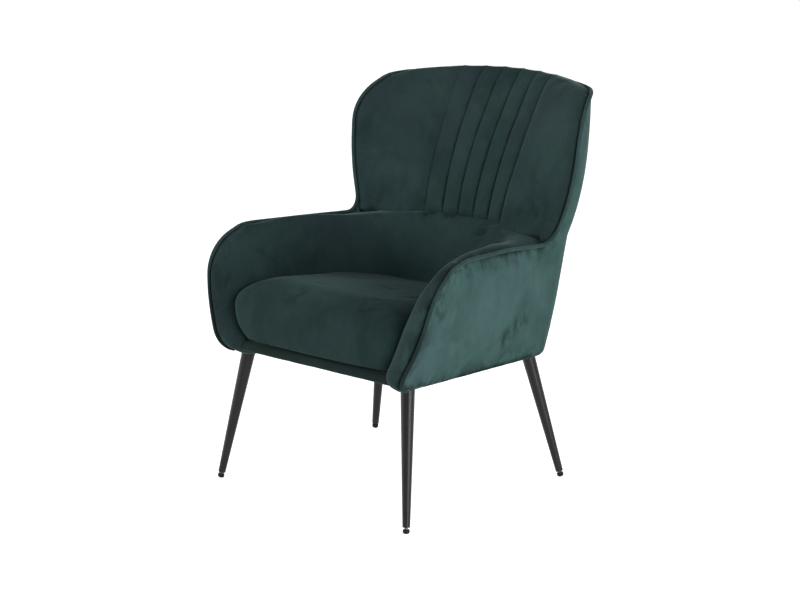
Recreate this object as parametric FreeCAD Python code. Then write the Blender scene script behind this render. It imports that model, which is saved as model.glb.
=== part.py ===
import FreeCAD, Part
import math
import os

os.makedirs("parts", exist_ok=True)
V = FreeCAD.Vector

# Overall dimensions in mm, z = 0 on the floor, y = 0 midway between the feet while building
body_bottom = 296.0
bottom_fall = 0.014
arm_height = 560.0
arm_rear_height = 545.0
wing_corner_height = 839.0
crest_slope = 0.185

# Side outline of the shell, y of its corners and their radii
toe_y = -274.0
shoulder_y = -223.0
wing_foot_y = 214.0
wing_top_y = 250.0
toe_radius = 42.0
shoulder_radius = 120.0
wing_foot_radius = 50.0
wing_top_radius = 118.0

# Outer shell in plan, half widths at the base, the arms and the wings
base_front_half = 256.0
base_rear_half = 265.0
arm_front_half = 332.0
arm_rear_half = 290.0
wing_gain = 62.0
wing_splay = 0.35
plan_front_y = -230.0
plan_rear_y = 200.0
corner_radius_low = 110.0
corner_radius_high = 195.0
back_radius = 900.0
back_low_y = 308.0
back_rake = 0.285
back_curl = 0.00009

# Inner faces of the arms and the lumbar pad
inner_half_low = 226.0
inner_half_gain = 46.0
inner_corner_radius = 150.0
inner_back_radius = 450.0
inner_back_y = 120.0
inner_back_lean = 0.52

# Upper back pad
pad_low_y = 250.0
pad_lean = 78.0
pad_curl = 70.0
wing_edge = 38.0
band_rise = 0.26
band_top = 567.0
pleat_count = 5
pleat_pitch_low = 45.0
pleat_pitch_high = 52.0
pleat_rise = 8.0

# Seat
seat_top = 461.0
seat_front_y = -261.0
seat_corner = 36.0
seat_bow = 7.0
seat_fall = 0.06
seat_crown = 96.0
seat_roll = 124.0
seat_belly = 378.0

# Rolled edges
arm_roll = 31.0
arm_roll_height = 500.0
lumbar_roll = 26.0
lumbar_roll_height = 505.0
lumbar_bulge = 8.0
bulge_bottom = 425.0
crest_roll = 28.0
crest_roll_height = 770.0

# Cloth, gaps and foam
cloth = 4.0
skin = 3.0
gap = 0.4
snug = 0.6
pad_gap = 1.2

# Frame
plate_rise = 8.0
plate_thick = 3.0
dust_thick = 0.8
rail_height = 22.8
frame_front_y = -221.0
panel_in = 8.0
panel_out = 24.0
panel_top = 530.0
post_out = 28.0
post_top = 812.0
crest_rail_bottom = 792.0
crest_rail_top = 842.0
lumbar_rail_bottom = 496.0
lumbar_rail_top = 544.0
rail_width = 46.0
block_size = 52.0
strap = 1.4
strap_width = 50.0
strap_pitch = 74.0
cross_pitch = 95.0
back_strap_pitch = 70.0
back_strap_low = 352.0
back_strap_high = 600.0

# Legs and glides
front_foot = (281.0, -260.5)
rear_foot = (285.5, 259.5)
front_lean = (0.149, 0.1825)
rear_lean = (0.233, -0.156)
leg_end = 13.0
leg_radius_low = 8.3
leg_radius_high = 15.6
leg_wall = 1.6
stem_radius = 4.0
insert_radius = 6.2
insert_length = 20.0
glide_radius = 7.4
glide_height = 9.6
glide_dome = 9.6
dome_drop = 0.6
screw_radius = 2.4
screw_depth = 20.0
head_radius = 4.6
head_height = 3.0
fit = 0.04
piping_radius = 3.4
piping_sides = 8

plate_top = body_bottom + plate_rise
rail_bottom = plate_top + dust_thick + gap
rail_top = rail_bottom + rail_height
pad_bottom = rail_top + 2.0 * strap + gap
seat_bottom = pad_bottom + gap
shell_gap = cloth + pad_gap
arm_slope = (arm_rear_height - arm_height) / (wing_foot_y - shoulder_y)


def ease(u, power):
    u = min(max(u, 0.0), 1.0)
    return 1.0 - (1.0 - u) ** power


def unit(x, y):
    size = math.hypot(x, y)
    return x / size, y / size


# Quarter-round of a rolled edge at height z, from nothing at start to size at high
def rolled(z, start, high, size):
    t = min(max((z - start) / (high - start), 0.0), 1.0)
    return size * (1.0 - math.sqrt(1.0 - t * t))


# Heights for a loft: even steps up to the start of the rolled edge, closer ones round it
def heights(low, start, high, even, close):
    below = [low + (start - low) * i / even for i in range(even)]
    return below + [start + (high - start) * math.sin(0.5 * math.pi * i / close) for i in range(close + 1)]


def even_heights(low, high, count):
    return [low + (high - low) * i / count for i in range(count + 1)]


# Plan curve: a side line, a rear corner arc and a bowed back arc, all tangent
class Plan:
    def __init__(self, a, b, corner, back_y, back_r):
        self.a, self.b, self.corner = a, b, corner
        self.back_y, self.back_r = back_y, back_r
        self.k = math.hypot(1.0, b)
        nx, ny = 1.0 / self.k, -b / self.k
        base = a / self.k - corner
        qx, qy = nx * base, ny * base - (back_y - back_r)
        along = qx * b / self.k + qy / self.k
        size = qx * qx + qy * qy - (back_r - corner) ** 2
        t = -along + math.sqrt(along * along - size)
        self.cx = nx * base + t * b / self.k
        self.cy = ny * base + t / self.k
        self.start = math.atan2(ny, nx)
        self.end = math.atan2(self.cy - back_y + back_r, self.cx)

    def line(self, y, d):
        return self.a + self.b * y - d * self.k, y

    def turn(self, f, d):
        angle = self.start + f * (self.end - self.start)
        r = self.corner - d
        return self.cx + r * math.cos(angle), self.cy + r * math.sin(angle)

    def back(self, d):
        return 0.0, self.back_y - d

    def step(self, size):
        return size / (self.corner * (self.end - self.start))

    def x_at(self, y, d):
        if y <= self.turn(0.0, d)[1]:
            return self.line(y, d)[0]
        r = self.corner - d
        return self.cx + math.sqrt(max(r * r - (y - self.cy) ** 2, 0.0))


# Outer face of the shell at height z
def shell(z):
    low = (z - body_bottom) / (arm_height - 10.0 - body_bottom)
    high = (z - arm_height + 10.0) / 330.0
    span = plan_rear_y - plan_front_y
    front = base_front_half + (arm_front_half - base_front_half) * ease(low, 2.0)
    rear = base_rear_half + (arm_rear_half - base_rear_half) * min(low, 1.0) + wing_gain * ease(high, 2.5)
    b = (base_rear_half + (arm_rear_half - base_rear_half) * min(low, 1.0) - front) / span
    b = b - wing_splay * ease(high, 1.5)
    u = min(max((z - body_bottom) / 590.0, 0.0), 1.0)
    corner = corner_radius_low + (corner_radius_high - corner_radius_low) * u * u * (3.0 - 2.0 * u)
    rise = z - body_bottom
    back_y = back_low_y + back_rake * rise - back_curl * rise * rise
    return Plan(rear - b * plan_rear_y, b, corner, back_y, back_radius)


# Inner face of the arms and the lumbar pad at height z
def inside(z):
    u = (z - seat_bottom) / 220.0
    half = inner_half_low + inner_half_gain * ease(u, 1.5)
    b = -0.07 * u
    back_y = inner_back_y + inner_back_lean * (z - seat_bottom)
    return Plan(half + b * 200.0, b, inner_corner_radius, back_y, inner_back_radius)


# A surface met by the level plane z + k (y - ref)
class Level:
    def __init__(self, surface, z, k=0.0, ref=0.0):
        self.surface, self.z, self.k, self.ref = surface, z, k, ref

    def pick(self, choose):
        height = self.z
        for _ in range(8):
            point = choose(self.surface(height))
            height = self.z + self.k * (point[1] - self.ref)
        return point

    def line(self, y, d):
        return self.pick(lambda p: p.line(y, d))

    def turn(self, f, d):
        return self.pick(lambda p: p.turn(f, d))

    def back(self, d):
        return self.pick(lambda p: p.back(d))

    def edge(self, y, d):
        return self.pick(lambda p: (p.x_at(y, d), y))

    def step(self, size):
        return self.surface(self.z).step(size)

    def fraction(self, y, d):
        p = self.surface(self.z + self.k * (y - self.ref))
        rise = min(max((y - p.cy) / (p.corner - d), -1.0), 1.0)
        return (math.asin(rise) - p.start) / (p.end - p.start)


# Rounded corner of the side outline: tangent points, middle and centre
def rounded(before, at, after, r):
    ax, ay = unit(before[0] - at[0], before[1] - at[1])
    bx, by = unit(after[0] - at[0], after[1] - at[1])
    half = math.acos(ax * bx + ay * by) / 2.0
    reach = r / math.tan(half)
    mx, my = unit(ax + bx, ay + by)
    far = r / math.sin(half)
    centre = (at[0] + mx * far, at[1] + my * far)
    first = (at[0] + ax * reach, at[1] + ay * reach)
    last = (at[0] + bx * reach, at[1] + by * reach)
    middle = (centre[0] - mx * r, centre[1] - my * r)
    return first, middle, last, centre


far_rear = 700.0
heel = (far_rear, body_bottom - bottom_fall * (far_rear - toe_y))
toe = (toe_y, body_bottom)
shoulder = (shoulder_y, arm_height)
wing_foot = (wing_foot_y, arm_rear_height)
wing_top = (wing_top_y, wing_corner_height)
crest_end = (far_rear, wing_corner_height + crest_slope * (far_rear - wing_top_y))
toe_arc = rounded(heel, toe, shoulder, toe_radius)
shoulder_arc = rounded(toe, shoulder, wing_foot, shoulder_radius)
foot_arc = rounded(shoulder, wing_foot, wing_top, wing_foot_radius)
top_arc = rounded(wing_foot, wing_top, crest_end, wing_top_radius)


def line3(p, q):
    return Part.makeLine(p, q)


def arc3(p, m, q):
    return Part.Arc(p, m, q).toShape()


# Prism of the side outline, used to trim the outer covers
def outline_prism(half):
    def at(p):
        return V(-half, p[0], p[1])
    edges = []
    last = at(heel)
    for arc in (toe_arc, shoulder_arc, foot_arc, top_arc):
        edges.append(line3(last, at(arc[0])))
        edges.append(arc3(at(arc[0]), at(arc[1]), at(arc[2])))
        last = at(arc[2])
    edges.append(line3(last, at(crest_end)))
    edges.append(line3(at(crest_end), at(heel)))
    return Part.Face(Part.Wire(edges)).extrude(V(2.0 * half, 0, 0))


# Front edge of the shell where a level plane z + k (y - ref) meets a rounded corner of the outline
def edge_y(z, k, ref, arc, below):
    centre, first = arc[3], arc[0]
    r = math.hypot(arc[1][0] - centre[0], arc[1][1] - centre[1])
    lean = (first[0] - below[0]) / (first[1] - below[1])

    def y_of(height):
        if height <= first[1]:
            return first[0] + lean * (height - first[1])
        rise = min(height - centre[1], r * 0.9999)
        return centre[0] - math.sqrt(r * r - rise * rise)
    low = z - 120.0
    high = arc[2][1]
    for _ in range(60):
        mid = (low + high) / 2.0
        if mid < z + k * (y_of(mid) - ref):
            low = mid
        else:
            high = mid
    return y_of(low)


def toe_front(z):
    first, middle, last, centre = toe_arc
    if z >= last[1]:
        return last[0] + (shoulder[0] - last[0]) * (z - last[1]) / (shoulder[1] - last[1])
    rise = min(centre[1] - z, toe_radius * 0.9999)
    return centre[0] - math.sqrt(toe_radius ** 2 - rise ** 2)


# Closed wire from runs of two points (lines) or three points (arcs), on a plane z + k (y - ref)
def ring(runs, z, k=0.0, ref=0.0):
    edges = []
    for run in runs:
        points = [V(p[0], p[1], z + k * (p[1] - ref)) for p in run]
        if len(points) == 2:
            edges.append(line3(points[0], points[1]))
        else:
            edges.append(arc3(points[0], points[1], points[2]))
    return Part.Wire(edges)


def loft(rings):
    return Part.makeLoft(rings, True, True)


def flip(p):
    return -p[0], p[1]


def mirrored(shape):
    return shape.mirror(V(0, 0, 0), V(1, 0, 0))


def box(x0, x1, y0, y1, z0, z1):
    return Part.makeBox(x1 - x0, y1 - y0, z1 - z0, V(x0, y0, z0))


# Strip between two offsets of a plan: along the side and half the corner
def side_runs(p, front_y, d0, d1, f):
    return [
        (p.line(front_y, d0), p.turn(0, d0)),
        (p.turn(0, d0), p.turn(f / 2, d0), p.turn(f, d0)),
        (p.turn(f, d0), p.turn(f, d1)),
        (p.turn(f, d1), p.turn(f / 2, d1), p.turn(0, d1)),
        (p.turn(0, d1), p.line(front_y, d1)),
        (p.line(front_y, d1), p.line(front_y, d0)),
    ]


# Strip between two offsets of a plan: corner fraction f, round the back, to the other side
def back_runs(p, d0, d1, f):
    g = (1.0 + f) / 2.0
    return [
        (p.turn(f, d0), p.turn(g, d0), p.turn(1, d0)),
        (p.turn(1, d0), p.back(d0), flip(p.turn(1, d0))),
        (flip(p.turn(1, d0)), flip(p.turn(g, d0)), flip(p.turn(f, d0))),
        (flip(p.turn(f, d0)), flip(p.turn(f, d1))),
        (flip(p.turn(f, d1)), flip(p.turn(g, d1)), flip(p.turn(1, d1))),
        (flip(p.turn(1, d1)), p.back(d1), p.turn(1, d1)),
        (p.turn(1, d1), p.turn(g, d1), p.turn(f, d1)),
        (p.turn(f, d1), p.turn(f, d0)),
    ]


def straight_runs(p, y0, y1, d0, d1):
    return [
        (p.line(y0, d0), p.line(y1, d0)),
        (p.line(y1, d0), p.line(y1, d1)),
        (p.line(y1, d1), p.line(y0, d1)),
        (p.line(y0, d1), p.line(y0, d0)),
    ]


def corner_runs(p, d0, d1, f0, f1):
    g = (f0 + f1) / 2.0
    return [
        (p.turn(f0, d0), p.turn(g, d0), p.turn(f1, d0)),
        (p.turn(f1, d0), p.turn(f1, d1)),
        (p.turn(f1, d1), p.turn(g, d1), p.turn(f0, d1)),
        (p.turn(f0, d1), p.turn(f0, d0)),
    ]


def arc_runs(p, d0, d1):
    return [
        (p.turn(1, d0), p.back(d0), flip(p.turn(1, d0))),
        (flip(p.turn(1, d0)), flip(p.turn(1, d1))),
        (flip(p.turn(1, d1)), p.back(d1), p.turn(1, d1)),
        (p.turn(1, d1), p.turn(1, d0)),
    ]


parts = {}

# Outer covers, trimmed by the side outline
trim = outline_prism(420.0)
cover_levels = [282.0] + [300.0 + 30.0 * i for i in range(21)]
side_rings = [ring(side_runs(shell(z), -340.0, 0.0, cloth, 0.5), z) for z in cover_levels]
side_cover = loft(side_rings).common(trim)
back_rings = []
for z in cover_levels:
    p = shell(z)
    back_rings.append(ring(back_runs(p, 0.0, cloth, 0.5 + p.step(gap)), z))
parts["outer_side_cover_right"] = side_cover
parts["outer_side_cover_left"] = mirrored(side_cover)
parts["outer_back_cover"] = loft(back_rings).common(trim)


# Frame behind the covers
def post_ring(z, grow):
    p = shell(z)
    edge = p.step(2.0 * gap - 2.0 * grow)
    return ring(corner_runs(p, panel_in - grow, post_out + grow, 0.03 + edge, 1.0 - edge), z)


def post_solid(grow):
    return loft([post_ring(z, grow) for z in even_heights(rail_bottom - grow, post_top + grow, 10)])


def arm_panel_ring(z, grow):
    p = shell(z)
    k = arm_slope * (z - rail_bottom) / (arm_height - rail_bottom)
    front = max(edge_y(z, k, shoulder_y, shoulder_arc, toe) + 30.0, frame_front_y) - grow
    rear = p.turn(0, 16.0)[1] - 6.0 + grow
    return ring(straight_runs(p, front, rear, panel_in - grow, panel_out + grow), z, k, shoulder_y)


def arm_panel_solid(grow):
    return loft([arm_panel_ring(z, grow) for z in even_heights(rail_bottom - grow, panel_top + grow, 7)])


def level_strip(low, high, runs):
    return loft([ring(runs(shell(z)), z) for z in (low, high)])


def crest_rail_solid(grow):
    return level_strip(crest_rail_bottom - grow, crest_rail_top + grow,
                       lambda p: arc_runs(p, panel_in - grow, post_out + grow))


def lumbar_rail_solid(grow):
    return level_strip(lumbar_rail_bottom - grow, lumbar_rail_top + grow,
                       lambda p: arc_runs(p, panel_in - grow, post_out + grow))


rail_out = panel_out + 2.0 * gap
rail_in = rail_out + rail_width
post = post_solid(0.0)
arm_panel = arm_panel_solid(0.0)
rear_rail = level_strip(rail_bottom, rail_top, lambda p: arc_runs(p, panel_in, panel_in + rail_width))
side_rail = level_strip(
    rail_bottom, rail_top + strap,
    lambda p: straight_runs(p, frame_front_y, p.turn(0, 40.0)[1] - 6.0, rail_out, rail_in))
rear_block = level_strip(
    rail_bottom, rail_top,
    lambda p: corner_runs(p, post_out + gap, 82.0, p.step(gap * 2), 1.0 - p.step(gap * 2)))
base = shell(rail_bottom)


def front_rail_ring(z):
    y_rear = frame_front_y + rail_width
    x_front = shell(z).line(frame_front_y, rail_in + 2.0 * gap)[0]
    x_rear = shell(z).line(y_rear, rail_in + 2.0 * gap)[0]
    corners = [(x_front, frame_front_y), (x_rear, y_rear), (-x_rear, y_rear), (-x_front, frame_front_y)]
    return ring([(corners[i], corners[(i + 1) % 4]) for i in range(4)], z)


front_rail = loft([front_rail_ring(rail_bottom), front_rail_ring(rail_top)])


def corner_block_ring(z):
    y0 = frame_front_y + rail_width + gap
    y1 = y0 + block_size
    outer = base.line(y0, rail_in + gap)
    rear = base.line(y1, rail_in + gap)
    inner = (outer[0] - block_size, y0)
    return ring([(outer, rear), (rear, inner), (inner, outer)], z)


front_block = loft([corner_block_ring(rail_bottom), corner_block_ring(rail_top - 4.0)])

# Webbing of the seat and the back
lengthwise = []
rear_reach = base.back(panel_in + rail_width)[1] + 20.0
front_reach = frame_front_y + 7.0
for i in range(4):
    x = strap_pitch * (i - 1.5)
    lengthwise.append(box(x - strap_width / 2, x + strap_width / 2, front_reach, rear_reach,
                          rail_top, rail_top + strap))
crosswise = []
for i in range(3):
    y = cross_pitch * (i - 1) - 15.0
    reach = shell(rail_top).line(y, rail_in)[0] + 14.0
    crosswise.append(box(-reach, reach, y - strap_width / 2, y + strap_width / 2,
                         rail_top + strap, rail_top + 2 * strap))
strap_lows = [back_strap_low + back_strap_pitch * i for i in range(2)]
strap_lows += [back_strap_high + back_strap_pitch * i for i in range(3)]


def back_strap(low, grow):
    start = post_out + 2.0 * gap - grow
    return level_strip(low - grow, low + strap_width + grow,
                       lambda p: back_runs(p, start, start + strap + 2.0 * grow, 0.55 - p.step(grow)))


back_straps = [back_strap(low, 0.0) for low in strap_lows]


# Arm pads: an outer line, half the rear corner, a rounded front and a rolled top
def arm_ring(z, roll, outer, lift, inset, over):
    cutter = outer < shell_gap
    lip_in = (shell_gap + 1.5 if cutter else outer) + lift
    outer = outer + lift
    k = arm_slope * min((z - seat_bottom) / (arm_height - seat_bottom), 1.0)
    height = z - inset if z > 400.0 else z
    p = Level(shell, height, k, shoulder_y)
    q = Level(inside, height, k, shoulder_y)
    front = edge_y(min(z, arm_height - 2.0), k, shoulder_y, shoulder_arc, toe) + inset
    inner = -roll - inset
    f = 0.5 - p.step(2.0 * gap) + over
    h = 0.5 - q.step(2.0 * gap) + over
    wide = p.edge(front, outer)
    lip = p.edge(front, lip_in)
    narrow = q.line(front + 28.0, inner)
    bend = 0.04 if cutter else 0.0
    nose = ((lip[0] + narrow[0]) / 2.0, front - 4.0)
    runs = [
        (wide, p.turn(bend, outer)),
        (p.turn(bend, outer), p.turn((bend + f) / 2, outer), p.turn(f, outer)),
        (p.turn(f, outer), q.turn(h, inner)),
        (q.turn(h, inner), q.turn(h / 2, inner), q.turn(0, inner)),
        (q.turn(0, inner), narrow),
        (narrow, nose, lip),
    ]
    if cutter:
        runs.append((lip, wide))
    return ring(runs, height, k, shoulder_y)



def arm_solid(outer, inset, bottom, over):
    high = arm_height + 1.0
    levels = heights(pad_bottom, arm_roll_height, high, 7, 6)
    if inset > skin:
        levels = levels[:-2]
    rings = []
    for z in bottom + levels:
        lift = 9.0 if z == high else 0.0
        rings.append(arm_ring(z, rolled(z, arm_roll_height, high, arm_roll), outer, lift, inset, over))
    return loft(rings)


# Lumbar pad between the two rear corners, its top rising to the back
def lumbar_ring(z, roll, outer, inset, over):
    k = band_rise * (z - pad_bottom) / (band_top - pad_bottom)
    height = z - inset if z > 400.0 else z
    p = Level(shell, height, k, wing_top_y)
    q = Level(inside, height, k, wing_top_y)
    inner = -roll - inset
    f = 0.5 + p.step(2.0 * gap) - over
    h = 0.5 + q.step(2.0 * gap) - over
    g, j = (1.0 + f) / 2.0, (1.0 + h) / 2.0
    runs = [
        (p.turn(f, outer), p.turn(g, outer), p.turn(1, outer)),
        (p.turn(1, outer), p.back(outer), flip(p.turn(1, outer))),
        (flip(p.turn(1, outer)), flip(p.turn(g, outer)), flip(p.turn(f, outer))),
        (flip(p.turn(f, outer)), flip(q.turn(h, inner))),
        (flip(q.turn(h, inner)), flip(q.turn(j, inner)), flip(q.turn(1, inner))),
        (flip(q.turn(1, inner)), q.back(inner), q.turn(1, inner)),
        (q.turn(1, inner), q.turn(j, inner), q.turn(h, inner)),
        (q.turn(h, inner), p.turn(f, outer)),
    ]
    return ring(runs, height, k, wing_top_y)


def lumbar_solid(outer, inset, bottom, over):
    rings = []
    for z in bottom + heights(pad_bottom, lumbar_roll_height, band_top, 6, 6):
        u = max((z - bulge_bottom) / (band_top - bulge_bottom), 0.0)
        roll = rolled(z, lumbar_roll_height, band_top, lumbar_roll) - lumbar_bulge * math.sin(math.pi * u)
        rings.append(lumbar_ring(z, roll, outer, inset, over))
    return loft(rings)


# Upper back pad: wings with rolled edges and a pleated middle
def wing_front(z, k):
    last, centre = foot_arc[2], foot_arc[3]
    y = edge_y(z, k, wing_top_y, top_arc, wing_foot)
    height = z + k * (y - wing_top_y)
    if height < last[1]:
        drop = min(last[1] - height, wing_foot_radius * 0.8)
        y = centre[0] + math.sqrt(wing_foot_radius ** 2 - drop ** 2) - 2.0
    return y


def pad_face(z, k):
    y = pad_low_y
    for _ in range(12):
        t = (z + k * (y - wing_top_y) - 578.0) / 308.0
        y = pad_low_y + pad_lean * t + pad_curl * t * abs(t)
    return y


def pad_ring(z, roll, outer, lift, inset):
    cutter = outer < shell_gap
    lip_in = (shell_gap + 1.5 if cutter else outer) + lift
    outer = outer + lift
    top = wing_corner_height
    u = (z - band_top) / (wing_corner_height - band_top)
    k = band_rise + (crest_slope - band_rise) * min(u, 1.0)
    height = z - inset if z > 620.0 else z
    p = Level(shell, height, k, wing_top_y)
    front = wing_front(min(z, top - 1.5), k) + inset + max(z - top, 0.0) * 2.0
    wide = p.edge(front, outer)
    deep = pad_face(height, k) + roll + inset
    rim = p.edge(front, shell_gap)[0]
    lip = p.edge(front, lip_in)
    tip = (rim - wing_edge + inset + 0.3 * roll, front + 7.0 + 0.25 * roll)
    nose = (rim - 0.5 * wing_edge, front - 4.0 + 0.15 * roll)

    def face(x):
        return x, deep - (deep - tip[1]) * (x / tip[0]) ** 2
    pitch = pleat_pitch_low + (pleat_pitch_high - pleat_pitch_low) * u
    rise = pleat_rise * (1.0 - 0.6 * max(min(roll / 30.0, 1.0), 0.0))
    side = pleat_count * pitch / 2.0
    start = max(p.fraction(front, outer), 0.0)
    bend = p.turn(start + 0.3 * (1.0 - start), outer) if start > 0.0 else p.turn(0, outer)
    first = start + 0.3 * (1.0 - start) if start > 0.0 else 0.0
    if start > 0.0:
        opening = (wide, p.turn(start + 0.15 * (1.0 - start), outer), bend)
    else:
        opening = (wide, bend)
    corner = (bend, p.turn((first + 1.0) / 2.0, outer), p.turn(1, outer))
    runs = [opening, corner, (p.turn(1, outer), p.back(outer), flip(p.turn(1, outer)))]
    runs += [tuple(flip(q) for q in reversed(corner)), tuple(flip(q) for q in reversed(opening))]
    if cutter:
        runs.append((flip(wide), flip(lip)))
    runs.append((flip(lip), flip(nose), flip(tip)))
    runs.append((flip(tip), face(-(side + tip[0]) / 2.0), face(-side)))
    for i in range(pleat_count):
        x0 = -side + i * pitch
        middle = face(x0 + pitch / 2.0)
        runs.append((face(x0), (middle[0], middle[1] - rise), face(x0 + pitch)))
    runs.append((face(side), face((side + tip[0]) / 2.0), tip))
    runs.append((tip, nose, lip))
    if cutter:
        runs.append((lip, wide))
    return ring(runs, height, k, wing_top_y)


pad_low = band_top + gap


def pad_solid(outer, inset, bottom):
    high = wing_corner_height + 3.0
    rings = []
    for z in bottom + heights(pad_low, crest_roll_height, high, 6, 6):
        lift = 7.0 if z == high else 0.0
        rings.append(pad_ring(z, rolled(z, crest_roll_height, high, crest_roll), outer, lift, inset))
    return loft(rings)


# Seat cushion with its crown, rolled front and drawn-in lower edge
def seat_ring(z, d, front, inset):
    u = (z - seat_bottom) / (seat_top - seat_bottom)
    k = -seat_fall * max(min(u, 1.0), 0.0)
    height = z - inset if z > 420.0 else z
    q = Level(inside, height, k, -200.0)
    d = d + pad_gap + inset
    front = front + inset
    side = q.line(front + seat_corner, d)
    centre = (side[0] - seat_corner, front + seat_corner)
    slant = seat_corner * math.sqrt(0.5)
    turn = (centre[0] + slant, centre[1] - slant)
    nose = (centre[0], front)
    runs = [
        (side, q.turn(0, d)),
        (q.turn(0, d), q.turn(0.5, d), q.turn(1, d)),
        (q.turn(1, d), q.back(d), flip(q.turn(1, d))),
        (flip(q.turn(1, d)), flip(q.turn(0.5, d)), flip(q.turn(0, d))),
        (flip(q.turn(0, d)), flip(side)),
        (flip(side), flip(turn), flip(nose)),
        (flip(nose), (0.0, front - seat_bow), nose),
        (nose, turn, side),
    ]
    return ring(runs, height, k, -200.0)


def seat_solid(inset, bottom):
    rings = []
    for z in bottom + heights(seat_bottom, seat_belly + 22.0, seat_top, 4, 8):
        side = seat_crown * rolled(z, seat_belly + 22.0, seat_top, 1.0) ** 1.3
        front = seat_roll * rolled(z, seat_belly, seat_top, 1.0) ** 1.3
        tuck = max(seat_belly - z, 0.0) / (seat_belly - seat_bottom)
        rings.append(seat_ring(z, side + 3.0 * tuck ** 2, seat_front_y + front + 16.0 * tuck ** 2, inset))
    return loft(rings)


# Covers hollowed for the foam, and foam hollowed for the frame; each cutter starts lower than its pad
post_space = post_solid(snug)
spaces = [post_space, mirrored(post_space)]
foam_in = skin + snug
foam_out = shell_gap + 2.5
arm_cover = arm_solid(shell_gap, 0.0, [], 0.0).cut(arm_solid(-3.0, skin, [pad_bottom - 20.0], 0.08))
arm_cover = arm_cover.cut(post_space)
arm_foam = arm_solid(foam_out, foam_in + gap, [], -0.006).cut(arm_panel_solid(snug)).cut(post_space)
lumbar_cover = lumbar_solid(shell_gap, 0.0, [], 0.0)
lumbar_cover = lumbar_cover.cut(lumbar_solid(-3.0, skin, [pad_bottom - 20.0], 0.08))
lumbar_foam = lumbar_solid(foam_out, foam_in, [], -0.04)
for space in spaces:
    lumbar_cover = lumbar_cover.cut(space)
for space in spaces + [lumbar_rail_solid(snug)] + [back_strap(low, snug) for low in strap_lows[:2]]:
    lumbar_foam = lumbar_foam.cut(space)
pad_cover = pad_solid(shell_gap, 0.0, []).cut(pad_solid(-3.0, skin, [pad_low - 12.0]))
pad_foam = pad_solid(foam_out, foam_in, [])
for space in spaces + [crest_rail_solid(snug)] + [back_strap(low, snug) for low in strap_lows[2:]]:
    pad_foam = pad_foam.cut(space)
seat_cover = seat_solid(0.0, []).cut(seat_solid(skin, [seat_bottom - 10.0]))
seat_foam = seat_solid(foam_in, [])

parts["inner_arm_cover_right"] = arm_cover
parts["inner_arm_cover_left"] = mirrored(arm_cover)
parts["arm_foam_right"] = arm_foam
parts["arm_foam_left"] = mirrored(arm_foam)
parts["lumbar_cover"] = lumbar_cover
parts["lumbar_foam"] = lumbar_foam
parts["inner_back_cover"] = pad_cover
parts["back_foam"] = pad_foam
parts["seat_cover"] = seat_cover
parts["seat_foam"] = seat_foam


# Arm fronts below the pads
toe_in = inner_half_low - 1.0
toe_rear = frame_front_y - 1.0


def toe_ring(z):
    front = toe_front(z)
    reach = min(28.0, 0.7 * (toe_rear - front))
    wide = shell(z).line(front, shell_gap)
    narrow = (toe_in, front + reach)
    nose = (wide[0] - 0.5 * (wide[0] - narrow[0]), front - 0.14 * reach)
    heel_out = shell(z).line(toe_rear, shell_gap)
    heel_in = (toe_in, toe_rear)
    return ring([(wide, heel_out), (heel_out, heel_in), (heel_in, narrow), (narrow, nose, wide)], z)


toe_low, toe_high = body_bottom + 0.6, pad_bottom - gap
arm_toe = loft([toe_ring(toe_low + (toe_high - toe_low) * (i / 6.0) ** 1.4) for i in range(7)])
parts["arm_toe_right"] = arm_toe
parts["arm_toe_left"] = mirrored(arm_toe)

# Cloth-covered strip in front of the front rail
strip_half = toe_in - pad_gap
strip_low, strip_high = plate_top - 1.5, rail_top - 1.0
strip = [V(-strip_half, toe_rear, strip_low),
         V(-strip_half, toe_rear - 20.0, strip_low + 3.5),
         V(-strip_half, toe_rear - 27.0, (strip_low + strip_high) / 2.0 + 1.75),
         V(-strip_half, toe_rear - 24.0, strip_high),
         V(-strip_half, toe_rear, strip_high)]
strip_edges = [line3(strip[0], strip[1]), arc3(strip[1], strip[2], strip[3]), line3(strip[3], strip[4]),
               line3(strip[4], strip[0])]
parts["front_rail_cover"] = Part.Face(Part.Wire(strip_edges)).extrude(V(2.0 * strip_half, 0, 0))

# Dust cover under the seat frame
edge = shell(plate_top)
tuck = cloth + 2.0
dust_runs = [
    (edge.line(frame_front_y, tuck), edge.turn(0, tuck)),
    (edge.turn(0, tuck), edge.turn(0.5, tuck), edge.turn(1, tuck)),
    (edge.turn(1, tuck), edge.back(tuck), flip(edge.turn(1, tuck))),
    (flip(edge.turn(1, tuck)), flip(edge.turn(0.5, tuck)), flip(edge.turn(0, tuck))),
    (flip(edge.turn(0, tuck)), flip(edge.line(frame_front_y, tuck))),
    (flip(edge.line(frame_front_y, tuck)), edge.line(frame_front_y, tuck)),
]
dust_cover = Part.Face(ring(dust_runs, plate_top + gap / 2.0)).extrude(V(0, 0, dust_thick))


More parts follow.
